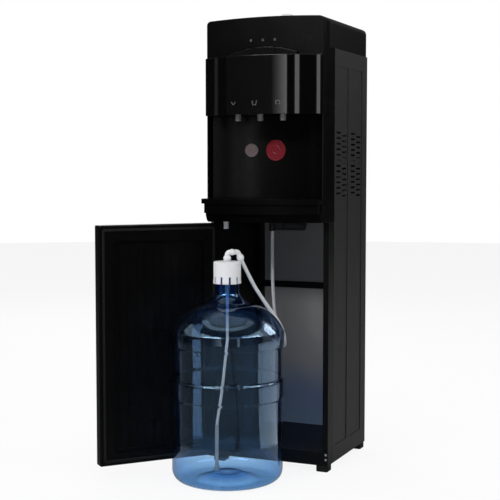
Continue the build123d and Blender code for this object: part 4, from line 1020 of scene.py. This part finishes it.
@dataclass
class CadSkins:
    """Finishes of the CAD pieces that stay as they are."""

    wardrobe: Wardrobe

    def build(self) -> None:
        """Puts each node's finish in its material slots."""
        for name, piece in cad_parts.items():
            for holder in piece.material_slots:
                slot = Slot(holder.material.name.split(".")[0])
                finish = SPECIAL_FINISHES.get(name, FINISHES[slot])
                holder.material = self.wardrobe.material(finish)
                LOG.info("%s wears %s", name, finish.name)


@dataclass
class BottleShell:
    """The blue five-gallon bottle, blown in one piece."""

    wardrobe: Wardrobe
    centre: Pair = BOTTLE_AXIS
    wall: float = 1.8 * MM
    radius: float = 131.0 * MM
    ring_radius: float = 134.5 * MM
    ring_fill: float = 1.2 * MM
    corner: float = 33.0 * MM
    neck_radius: float = 28.0 * MM
    lower_ring: Pair = (197.0 * MM, 245.0 * MM)
    upper_ring: Pair = (319.0 * MM, 353.0 * MM)
    neck_base: float = 446.0 * MM
    mouth: float = 508.0 * MM
    punt: Pair = (32.0 * MM, 16.0 * MM)
    foot_radius: float = 76.0 * MM
    shoulder_mid: Pair = (111.0 * MM, 388.0 * MM)
    shoulder_top: Pair = (64.0 * MM, 417.0 * MM)
    neck_sweep: Pair = (40.0 * MM, 427.0 * MM)
    ring_soft: float = 11.0 * MM
    ring_slope: float = 4.0 * MM
    outer_slope: float = 6.0 * MM
    inner_slope: float = 10.0 * MM
    segments: int = 128

    def section(self, ring_radius: float, slope: float) -> list[Pair]:
        """Half section of a face, from the foot's middle to the mouth.

        Args:
            ring_radius: How far the two rings stand out.
            slope: Height of each ring's sloped edge.

        Returns:
            The face's points in order.
        """
        soft = self.ring_soft
        (low, high), (shoulder, crest) = self.lower_ring, self.upper_ring
        spare = slope - self.ring_slope
        corners: list[Triple] = [
            (0.0, self.punt[1], 0.0),
            (*self.punt, 9.0 * MM),
            (self.foot_radius, 0.0, 14.0 * MM),
            (self.radius, 0.0, self.corner),
            (self.radius, low - spare / 2, soft),
            (ring_radius, low - spare / 2 + slope, soft),
            (ring_radius, high + spare / 2 - slope, soft),
            (self.radius, high + spare / 2, soft),
            (self.radius, shoulder - spare / 2, soft),
            (ring_radius, shoulder - spare / 2 + slope, soft),
            (self.ring_radius, crest, 0.0),
        ]
        line = round_corners(corners)
        line += arc_through(line[-1], self.shoulder_mid, self.shoulder_top, 22)
        line += arc_through(line[-1], self.neck_sweep, (self.neck_radius, self.neck_base), 12)
        line.append((self.neck_radius, self.mouth))
        return line

    def build(self) -> None:
        """Makes the shell, dresses it and seats it."""
        outer = self.section(self.ring_radius, self.outer_slope)
        inner_face = self.section(self.ring_radius - self.ring_fill, self.inner_slope)
        inner = step_in(inner_face, self.wall)
        inner[0] = (0.0, outer[0][1] + self.wall)
        inner[-1] = (inner[-1][0], self.mouth)
        place = Matrix.Translation((*self.centre, 0.0))
        shell = lathe("bottle_shell", outer + inner[::-1], place, self.segments)
        self.wardrobe.dress(shell, Slot.BOTTLE_BLUE)
        seat(shell, Body.BOTTLE, "bottle")


@dataclass
class ProbeCap:
    """The white screw cap: fluted side, flared hem with slots cut up into it."""

    wardrobe: Wardrobe
    centre: Pair = BOTTLE_AXIS
    hem_z: float = 466.0 * MM
    top_z: float = 518.0 * MM
    radius: float = 32.2 * MM
    hem_radius: float = 33.0 * MM
    bore: float = 28.5 * MM
    tube_hole: float = 4.9 * MM
    deck: float = 6.0 * MM
    slots: int = 10
    slot_width: float = 5.2 * MM
    slot_height: float = 17.0 * MM
    flutes: int = 60
    flute_depth: float = 0.22 * MM
    flute_start: float = 31.4 * MM
    flute_fade: float = 0.8 * MM
    overcut: float = 4.0 * MM

    def section(self) -> list[Pair]:
        """Closed half section of the cap, from its bore round to its bore.

        Returns:
            Its points in order.
        """
        under = self.top_z - self.deck
        corners: list[Triple] = [
            (self.tube_hole, under, 0.0),
            (self.bore, under, 1.0 * MM),
            (self.bore, self.hem_z, 0.8 * MM),
            (self.hem_radius, self.hem_z, 1.2 * MM),
            (self.hem_radius, self.hem_z + 5.0 * MM, 3.0 * MM),
            (self.radius, self.hem_z + 10.0 * MM, 3.0 * MM),
            (self.radius, self.top_z, 3.2 * MM),
            (self.tube_hole, self.top_z, 0.0),
            (self.tube_hole, under, 0.0),
        ]
        return round_corners(corners, 5)

    def cutter(self) -> bpy.types.Object:
        """Makes the round-headed tongues that the slots are cut with.

        Returns:
            The tongues as one object.
        """
        half = self.slot_width / 2
        rise = self.slot_height - half
        head = [on_circle(half, angle) for angle in range(0, 181, 20)]
        outline = [(-half, -2.0 * MM), (half, -2.0 * MM)] + [(x, rise + y) for x, y in head]
        outward = Matrix(((0, 0, 1, 0), (1, 0, 0, 0), (0, 1, 0, 0), (0, 0, 0, 1)))
        hem = Matrix.Translation((*self.centre, self.hem_z))
        tongues = [
            prism(
                outline, self.bore - self.overcut, self.hem_radius + self.overcut,
                hem @ Matrix.Rotation(2 * math.pi * (index + 0.5) / self.slots, 4, "Z") @ outward,
            )
            for index in range(self.slots)
        ]
        return gathered("cap_slot_cutter", tongues, smooth=False)

    def build(self) -> None:
        """Turns the cap, flutes its side, cuts its slots and seats it."""
        place = Matrix.Translation((*self.centre, 0.0))
        cap = lathe("probe_cap", self.section(), place, 6 * self.flutes)
        weld = bmesh.new()
        weld.from_mesh(cap.data)
        bmesh.ops.remove_doubles(weld, verts=weld.verts[:], dist=1e-7)
        for vertex in weld.verts:
            spoke = Vector((vertex.co.x - self.centre[0], vertex.co.y - self.centre[1]))
            side = min(max((spoke.length - self.flute_start) / self.flute_fade, 0.0), 1.0)
            wave = math.cos(self.flutes * math.atan2(spoke.y, spoke.x))
            spoke += spoke.normalized() * self.flute_depth * side * (wave - 1.0)
            vertex.co.x, vertex.co.y = self.centre[0] + spoke.x, self.centre[1] + spoke.y
        weld.to_mesh(cap.data)
        weld.free()
        cut_away(cap, self.cutter())
        self.wardrobe.dress(cap, Slot.WHITE_PLASTIC)
        seat(cap, Body.PROBE, "bottle_cap")


@dataclass
class ProbeNuts:
    """Swollen nuts on the probe's elbows: at the riser, at the link and at the outlet."""

    wardrobe: Wardrobe
    riser: Triple = (*BOTTLE_AXIS, 0.5186)
    link: Triple = (-0.0422, -0.2776, 0.539)
    outlet: Triple = (-0.02463, -0.254314, 0.521002)
    heading: float = 53.0
    dip: float = 63.0
    riser_size: Triple = (12.5 * MM, 9.0 * MM, 6.0 * MM)
    link_size: Triple = (10.0 * MM, 7.6 * MM, 4.0 * MM)
    outlet_size: Triple = (13.0 * MM, 8.6 * MM, 4.7 * MM)
    outlet_back: float = 11.0 * MM

    def build(self) -> None:
        """Makes the three nuts, each on its own pipe's axis."""
        level = Vector((*on_circle(1.0, self.heading), 0.0))
        reach, drop = on_circle(1.0, self.dip)
        down = level * reach
        down.z = -drop
        self.nut("riser_nut", Vector(self.riser), Vector((0, 0, 1)), self.riser_size)
        self.nut("link_nut", Vector(self.link), level, self.link_size)
        start = Vector(self.outlet) - down * self.outlet_back
        self.nut("outlet_nut", start, down, self.outlet_size)

    def nut(self, name: str, foot: Vector, along: Vector, size: Triple) -> None:
        """Makes one nut with softened ends and seats it on the probe.

        Args:
            name: Name of the piece.
            foot: Where it starts on its pipe's axis.
            along: Direction of the axis.
            size: Its length, widest radius and the radius of its hole.
        """
        length, radius, bore = size
        corners: list[Triple] = [
            (bore, 0.0, 0.0),
            (0.8 * radius, 0.0, 1.0 * MM),
            (radius, 0.3 * length, 3.0 * MM),
            (radius, 0.66 * length, 3.0 * MM),
            (0.76 * radius, length, 1.2 * MM),
            (bore, length, 0.0),
            (bore, 0.0, 0.0),
        ]
        nut = lathe(name, round_corners(corners, 4), standing(foot, along), 40)
        self.wardrobe.dress(nut, Slot.WHITE_PLASTIC)
        seat(nut, Body.PROBE)


@dataclass
class SupplyHose:
    """The white hose from the probe's outlet up to the connector under the deck."""

    wardrobe: Wardrobe
    radius: float = 4.6 * MM
    bore: float = 3.1 * MM
    length: float = 664.5 * MM
    route: tuple[Triple, ...] = (
        (-0.024630, -0.254314, 0.521002),
        (-0.008484, -0.232887, 0.468),
        (0.013783, -0.203338, 0.416),
        (0.044476, -0.162607, 0.352),
        (0.026, -0.098, 0.29),
        (-0.022, -0.026, 0.292),
        (-0.053, 0.014, 0.374),
        (-0.060, 0.0185, 0.478),
        (-0.059, 0.018, 0.574),
    )

    def build(self) -> None:
        path = spline_points("hose_line", self.route, 24)
        hose = sweep_tube("supply_hose_tube", path, self.radius, self.bore, 28)
        self.wardrobe.dress(hose, Slot.TUBE_WHITE)
        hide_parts("supply_hose")
        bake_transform(hose)
        LOG.info("%s follows the bottle, and the probe at its outlet", hose.name)


@dataclass
class ScrewHeads:
    """Domed cross-recess screws: on the jambs' feet, under the deck and on the rear panel."""

    wardrobe: Wardrobe
    jamb_x: float = 148.7 * MM
    jamb_y: float = -142.1 * MM
    jamb_rises: Pair = (31.0 * MM, 43.0 * MM)
    deck_xs: Triple = (-17.0 * MM, 58.0 * MM, 134.0 * MM)
    deck_place: Pair = (-134.0 * MM, 606.8 * MM)
    rear_x: float = 143.0 * MM
    rear_y: float = 142.2 * MM
    rear_rises: Triple = (79.0 * MM, 535.35 * MM, 991.7 * MM)
    jamb_head: Pair = (2.9 * MM, 1.3 * MM)
    rear_head: Pair = (3.2 * MM, 1.5 * MM)
    deck_head: Pair = (4.2 * MM, 3.0 * MM)
    dome: tuple[Pair, ...] = (
        (0.0, 0.0), (1.0, 0.0), (1.0, 0.2), (0.92, 0.55), (0.72, 0.82), (0.4, 0.96), (0.0, 1.0),
    )
    spin: float = 37.0

    def seats(self) -> list[tuple[Vector, Vector, float, float]]:
        """Finds where each head sits.

        Returns:
            Foot, outward direction, radius and height of each head.
        """
        seats: list[tuple[Vector, Vector, float, float]] = []
        for side in (-1, 1):
            for rise in self.jamb_rises:
                foot = Vector((side * self.jamb_x, self.jamb_y, rise))
                seats.append((foot, Vector((0, -1, 0)), *self.jamb_head))
            for rise in self.rear_rises:
                foot = Vector((side * self.rear_x, self.rear_y, rise))
                seats.append((foot, Vector((0, 1, 0)), *self.rear_head))
        for across in self.deck_xs:
            foot = Vector((across, *self.deck_place))
            seats.append((foot, Vector((0, 0, -1)), *self.deck_head))
        return seats

    def build(self) -> None:
        """Turns every head, cuts the cross recesses and seats them as one piece."""
        heads: list[Form] = []
        crosses: list[Form] = []
        for index, (foot, out, radius, high) in enumerate(self.seats()):
            spin = Matrix.Rotation(math.radians(self.spin * index), 4, "Z")
            place = standing(foot, out) @ spin
            dome = [(across * radius, up * high) for across, up in self.dome]
            heads.append(turned(dome, place, 28))
            wide, slim = 0.56 * radius, 0.13 * radius
            cross = [(slim, slim), (wide, slim), (wide, -slim), (slim, -slim), (slim, -wide),
                     (-slim, -wide), (-slim, -slim), (-wide, -slim), (-wide, slim), (-slim, slim),
                     (-slim, wide), (slim, wide)]
            crosses.append(prism(cross, 0.4 * high, 1.3 * high, place))
        screws = gathered("screw_heads", heads)
        cut_away(screws, gathered("screw_cross_cutter", crosses, smooth=False))
        self.wardrobe.dress(screws, Slot.ZINC_STEEL)
        seat(screws, Body.CABINET, "panel_screws")


@dataclass
class HoodMarks:
    """Three plain pale marks on the hood, one above each tap."""

    wardrobe: Wardrobe
    pitch: float = 57.0 * MM
    height: float = 889.0 * MM
    half_width: float = 150.0 * MM
    end_y: float = -188.0 * MM
    centre_y: float = -234.0 * MM
    stroke: float = 1.5 * MM
    thick: float = 0.12 * MM
    ring_radius: float = 5.0 * MM

    def on_hood(self, across: float, up: float, proud: float) -> Vector:
        """Finds a point on or above the hood's bowed face.

        Args:
            across: Distance to the right of the middle.
            up: Height above the ground.
            proud: Distance out from the face.

        Returns:
            The point.
        """
        bow = self.end_y - self.centre_y
        bend = (self.half_width**2 + bow**2) / (2 * bow)
        middle = self.centre_y + bend
        spoke = Vector((across, -math.sqrt(bend**2 - across**2))).normalized() * (bend + proud)
        return Vector((spoke.x, middle + spoke.y, up))

    def strokes(self) -> list[list[Pair]]:
        """The marks' middle lines: a drop's point, a cup and an open ring.

        Returns:
            The points of each line, about its own middle.
        """
        point = [(-6.0, 3.6), (0.0, -3.8), (6.0, 3.6)]
        cup = [(-5.6, 5.4), (-4.0, -4.8), (4.0, -4.8), (5.6, 5.4)]
        ring = [on_circle(self.ring_radius, angle) for angle in range(-60, 241, 20)]
        return [[(x * MM, z * MM) for x, z in line] for line in (point, cup)] + [ring]

    def build(self) -> None:
        """Makes the marks as one piece on the cabinet."""
        forms: list[Form] = []
        for index, line in enumerate(self.strokes()):
            shift = (index - 1) * self.pitch
            moved = [(x + shift, z + self.height) for x, z in line]
            forms.append(ribbon(moved, self.stroke, self.on_hood, self.thick))
        marks = gathered("hood_marks", forms, smooth=False)
        ink = Finish("pale_print", (0.11, 0.11, 0.115), 0.5, drift_colour=(0.08, 0.08, 0.085))
        self.wardrobe.dress(marks, Slot.LIGHT_GREY, ink)
        seat(marks, Body.CABINET)


@dataclass
class Badge:
    """A round badge on the bay's bowed wall, dished inside a raised rim."""

    wardrobe: Wardrobe
    node: str
    slot: Slot
    across: float
    radius: float
    height: float = 780.0 * MM
    thick: float = 2.0 * MM
    rim: float = 0.9 * MM
    dish_depth: float = 0.5 * MM
    ridge_depth: float = 0.15 * MM
    soft: float = 0.35 * MM
    foot: float = 0.35 * MM
    wall_half: float = 147.7 * MM
    wall_end_y: float = -151.0 * MM
    wall_centre_y: float = -100.0 * MM

    def place(self) -> Matrix:
        """Finds the badge's place on the wall.

        Returns:
            A frame whose height axis points out of the wall.
        """
        bow = self.wall_centre_y - self.wall_end_y
        bend = (self.wall_half**2 + bow**2) / (2 * bow)
        middle = Vector((0.0, self.wall_centre_y - bend))
        depth = middle.y + math.sqrt(bend**2 - self.across**2)
        out = (middle - Vector((self.across, depth))).normalized()
        foot = Vector((self.across, depth, self.height))
        return standing(foot, Vector((out.x, out.y, 0.0)))

    def build(self) -> None:
        """Makes the badge and seats it on the cabinet."""
        r, t, soft = self.radius, self.thick, self.soft
        dish, ridge = t - self.dish_depth, t - self.ridge_depth
        corners: list[Triple] = [
            (0.0, dish, 0.0),
            (0.3 * r, dish, soft),
            (0.34 * r, ridge, soft),
            (0.4 * r, ridge, soft),
            (0.44 * r, dish, soft),
            (r - 2.6 * self.rim, dish, soft),
            (r - 2 * self.rim, t, soft),
            (r - 0.4 * self.rim, t, soft),
            (r, t - 0.6 * MM, soft),
            (r, self.foot, 0.0),
            (0.0, self.foot, 0.0),
        ]
        badge = lathe(f"{self.node}_face", round_corners(corners, 3), self.place(), 72)
        self.wardrobe.dress(badge, self.slot, SPECIAL_FINISHES.get(self.node))
        seat(badge, Body.CABINET, self.node)


# ---------------------------------------------------------------- studio


@dataclass(frozen=True)
class Softbox:
    """One rectangular lamp."""

    name: str
    spot: Triple
    aim: Triple
    size: Pair
    watts: float
    mirrored: bool = True

    def build(self) -> None:
        """Hangs the lamp and points it."""
        lamp = bpy.data.lights.new(self.name, "AREA")
        lamp.shape = "RECTANGLE"
        lamp.size, lamp.size_y = self.size
        lamp.energy = self.watts
        holder = placed(self.name, lamp)
        holder.location = self.spot
        reach = Vector(self.aim) - Vector(self.spot)
        holder.rotation_euler = reach.to_track_quat("-Z", "Y").to_euler()
        holder.visible_glossy = self.mirrored
        holder.visible_transmission = self.mirrored


@dataclass(frozen=True)
class WallBand:
    """A lit band of the studio wall, by bearing from -Y towards +X in degrees."""

    start: float
    end: float
    glow_start: float
    glow_end: float
    low: float = 0.2
    high: float = 3.0

    def glow(self, bearing: float, height: float) -> float:
        """Brightness of the band at a place.

        Args:
            bearing: Bearing of the place in degrees.
            height: Its height in metres.

        Returns:
            The brightness, 0 outside the band.
        """
        if not (self.start <= bearing <= self.end and self.low <= height <= self.high):
            return 0.0
        share = (bearing - self.start) / (self.end - self.start)
        return self.glow_start + share * (self.glow_end - self.glow_start)


@dataclass(frozen=True)
class Rays:
    """Shares that sort the rays reaching the surround, each 0 or 1.

    Attributes:
        seen: Camera, mirrored and see-through rays.
        mirrored: Rays that a surface has mirrored on their way.
        inner: Mirrored rays that then left through clear plastic.
    """

    seen: bpy.types.NodeSocket
    mirrored: bpy.types.NodeSocket
    inner: bpy.types.NodeSocket


@dataclass
class Studio:
    """Camera, floor, white surround, lamps, and the dark wall that black gloss mirrors."""

    camera_spot: Triple = (1.08003, -2.68843, 0.73251)
    camera_pitch: float = -4.051
    camera_heading: float = 23.961
    lens: float = 81.732
    sensor: float = 36.0
    floor_radius: float = 9.0
    floor_middle: Pair = BOTTLE_AXIS
    floor_z: float = -0.0004
    near_floor: float = 0.42
    middle_floor: float = 3.0
    near_tone: float = 0.22
    floor_tones: Pair = (0.78, 0.81)
    strip_tones: Pair = (0.03, 1.5)
    inner_lift: float = 2.0
    floor_glow: float = 0.88
    world_light: Colour = (0.34, 0.34, 0.345)
    low_strip: tuple[Pair, Pair] = ((0.42, 0.46), (0.69, 0.65))
    high_strip: tuple[Pair, Pair] = ((0.84, 0.86), (0.92, 0.9))
    front_fade: Pair = (0.05, -0.15)
    sky: Pair = (6.0, 14.0)
    floor_bands: tuple[WallBand, ...] = (
        WallBand(-180.0, -76.5, 0.06, 0.06),
        WallBand(-76.5, -9.0, 0.04, 0.04),
        WallBand(-9.0, 85.5, 0.05, 0.05),
        WallBand(85.5, 138.0, 0.8, 0.7),
        WallBand(138.0, 180.0, 0.3, 0.3),
    )
    wall_radius: float = 5.2
    wall_rows: tuple[float, ...] = (0.0, 0.2, 1.0, 1.6, 2.2, 3.0, 4.9, 8.0, 11.0, 14.0)
    wall_step: float = 0.75
    wall_dark: float = 0.012
    bands: tuple[WallBand, ...] = (
        WallBand(-75.0, -70.0, 0.2, 0.2),
        WallBand(-57.0, -4.0, 0.05, 0.1),
        WallBand(-4.0, 2.0, 0.1, 0.74),
        WallBand(2.0, 12.0, 0.74, 2.5),
        WallBand(20.0, 24.5, 2.3, 2.3),
        WallBand(42.5, 47.5, 2.3, 2.3),
        WallBand(104.0, 116.0, 0.3, 0.4),
        WallBand(176.0, 190.0, 0.35, 0.6),
        WallBand(-128.0, -112.0, 0.08, 0.08),
        WallBand(-150.0, 150.0, 0.6, 0.6, 3.0, 4.9),
        WallBand(-36.0, 2.0, 2.6, 2.6, 3.0, 4.9),
        WallBand(57.0, 107.0, 2.6, 2.6, 3.0, 4.9),
        WallBand(-80.0, 130.0, 1.0, 1.0, 8.0, 11.0),
    )
    lamps: tuple[Softbox, ...] = (
        Softbox("key_front", (-0.48, -3.35, 2.4), (0.0, -0.1, 0.5), (2.2, 0.5), 52.0),
        Softbox("key_right", (3.0, -0.82, 2.4), (0.0, -0.1, 0.5), (2.2, 0.5), 26.0),
        Softbox("fill_left", (-2.6, -2.0, 2.3), (0.0, 0.0, 0.5), (1.4, 1.4), 24.0, mirrored=False),
        Softbox("overhead", (0.0, 0.3, 3.6), (0.0, 0.0, 0.5), (2.2, 2.2), 34.0, mirrored=False),
        Softbox("rear_left", (-2.2, 2.3, 2.2), (0.0, 0.0, 0.6), (1.2, 1.2), 26.0),
        Softbox("rear_right", (2.4, 2.1, 2.2), (0.0, 0.0, 0.6), (1.2, 1.2), 26.0),
    )

    def build(self) -> None:
        """Sets up the whole studio."""
        self._camera()
        self._world()
        self._floor()
        self._wall()
        for lamp in self.lamps:
            lamp.build()
        bpy.context.scene.view_settings.view_transform = "Standard"
        LOG.info("studio with %d lamps and %d wall bands", len(self.lamps), len(self.bands))

    def _camera(self) -> None:
        """Camera at the photograph's angle."""
        camera = bpy.data.cameras.new("photo_camera")
        camera.lens = self.lens
        camera.sensor_width = self.sensor
        holder = placed("photo_camera", camera)
        holder.location = self.camera_spot
        holder.rotation_euler = (
            math.radians(90.0 + self.camera_pitch), 0.0, math.radians(self.camera_heading)
        )
        bpy.context.scene.camera = holder

    @staticmethod
    def _rays(wiring: Wiring) -> Rays:
        """Tells the rays that show the surround from those that only light the object.

        Args:
            wiring: Wiring of the material or world.

        Returns:
            The shares.
        """
        path = wiring.node("ShaderNodeLightPath").outputs
        bent = wiring.maths("MAXIMUM", path["Is Glossy Ray"], path["Is Transmission Ray"])
        mirrored = wiring.maths("GREATER_THAN", path["Glossy Depth"], 0.5)
        return Rays(
            seen=wiring.maths("MAXIMUM", path["Is Camera Ray"], bent),
            mirrored=mirrored,
            inner=wiring.maths("MULTIPLY", mirrored, path["Is Transmission Ray"]),
        )

    def _world(self) -> None:
        """White surround that lights the object with a plain grey."""
        world = bpy.data.worlds.new("white_surround")
        world.use_nodes = True
        bpy.context.scene.world = world
        wiring = Wiring(world.node_tree)
        rays = self._rays(wiring)
        heading = wiring.node("ShaderNodeTexCoord").outputs["Generated"]
        toward = wiring.axes(heading)
        rise = toward["Z"]
        low, high = (
            wiring.maths("MULTIPLY", wiring.spread(rise, *foot), wiring.spread(rise, *head))
            for foot, head in (self.low_strip, self.high_strip)
        )
        front = wiring.maths("MULTIPLY", high, wiring.spread(toward["Y"], *self.front_fade))
        inside = wiring.blend(wiring.maths("MAXIMUM", low, front), *map(grey, self.strip_tones))
        shown = wiring.blend(rays.inner, grey(1.0), inside)
        tone = wiring.blend(rays.seen, rgba(self.world_light), shown)
        lit = wiring.node("ShaderNodeBackground", {"Color": tone})
        wiring.node("ShaderNodeOutputWorld", {"Surface": lit.outputs[0]})

    def _floor(self) -> bpy.types.Object:
        """Makes the pale floor that keeps the object's soft shadow.

        Returns:
            The floor.
        """
        reaches = (0.0, self.near_floor, self.middle_floor, self.floor_radius)
        rings = [(reach, 0.0) for reach in reaches]
        place = Matrix.Translation((*self.floor_middle, self.floor_z))
        floor = lathe("studio_floor", rings, place, 120)
        glows = []
        for face in floor.data.polygons:
            spot = face.center - Vector((*self.floor_middle, 0.0))
            bearing = math.degrees(math.atan2(spot.x, -spot.y))
            tone = sum(band.glow(bearing, 1.0) for band in self.floor_bands)
            glows.append(self.near_tone if spot.length < self.near_floor else tone)
        floor.data.attributes.new("glow", "FLOAT", "FACE").data.foreach_set("value", glows)
        material, wiring = new_material("pale_floor")
        clouds = wiring.noise(wiring.place(), 3.0, 3.0)
        tone = wiring.blend(clouds, *map(grey, self.floor_tones))
        lit = wiring.node("ShaderNodeBsdfDiffuse", {"Color": tone})
        rays = self._rays(wiring)
        tone_there = wiring.node("ShaderNodeAttribute", attribute_name="glow").outputs["Fac"]
        lift = wiring.maths("MULTIPLY_ADD", rays.inner, self.inner_lift, 1.0)
        mirror_tone = wiring.maths("MULTIPLY", tone_there, lift)
        shown = wiring.blend(rays.mirrored, grey(1.0), mirror_tone)
        white = wiring.node("ShaderNodeEmission", {"Color": shown})
        share = wiring.maths("MULTIPLY", rays.seen, self.floor_glow)
        both = wiring.node("ShaderNodeMixShader", {0: share, 1: lit.outputs[0], 2: white.outputs[0]})
        wiring.show(both)
        floor.data.materials.append(material)
        return floor

    def _wall(self) -> bpy.types.Object:
        """Makes the dark round wall with lit bands, seen only in mirrored light.

        Returns:
            The wall.
        """
        bearings = [index * self.wall_step - 180.0 for index in range(int(360 / self.wall_step))]
        rim = [on_circle(self.wall_radius, bearing) for bearing in bearings]
        points = [(across, -ahead, z) for z in self.wall_rows for ahead, across in rim]
        count = len(bearings)
        faces: list[tuple[int, ...]] = []
        glows: list[float] = []
        for row, (low, high) in enumerate(zip(self.wall_rows, self.wall_rows[1:])):
            for index, bearing in enumerate(bearings):
                after = (index + 1) % count
                faces.append((row * count + index, row * count + after,
                              (row + 1) * count + after, (row + 1) * count + index))
                middle = bearing + self.wall_step / 2
                glows.append(max([self.wall_dark] + [
                    band.glow(turned, (low + high) / 2)
                    for band in self.bands for turned in (middle, middle + 360.0)
                ]))
        mesh = bpy.data.meshes.new("studio_wall")
        mesh.from_pydata(points, [], faces)
        mesh.attributes.new("glow", "FLOAT", "FACE").data.foreach_set("value", glows)
        wall = placed("studio_wall", mesh)
        for name in ("camera", "diffuse", "transmission", "volume_scatter", "shadow"):
            setattr(wall, f"visible_{name}", False)
        material, wiring = new_material("studio_wall_bands")
        glow = wiring.node("ShaderNodeAttribute", attribute_name="glow").outputs["Fac"]
        height = wiring.axes(wiring.place())["Z"]
        sky = wiring.maths("POWER", wiring.spread(height, *self.sky), 2.0)
        lit = wiring.node("ShaderNodeEmission", {"Strength": wiring.maths("ADD", glow, sky)})
        wiring.show(lit)
        mesh.materials.append(material)
        return wall


# ---------------------------------------------------------------- whole scene


def main() -> None:
    """Builds the cooler's looks and the studio."""
    logging.basicConfig(level=logging.INFO, format="%(name)s: %(message)s")
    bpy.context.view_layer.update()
    wardrobe = Wardrobe()
    Studio().build()
    SupplyHose(wardrobe).build()
    CadSkins(wardrobe).build()
    BottleShell(wardrobe).build()
    ProbeCap(wardrobe).build()
    ProbeNuts(wardrobe).build()
    ScrewHeads(wardrobe).build()
    HoodMarks(wardrobe).build()
    Badge(wardrobe, "round_badge_large", Slot.RED_PLASTIC, 0.0, 26.0 * MM).build()
    Badge(wardrobe, "round_badge_small", Slot.LIGHT_GREY, -62.0 * MM, 16.5 * MM).build()


if __name__ == "__main__":
    main()
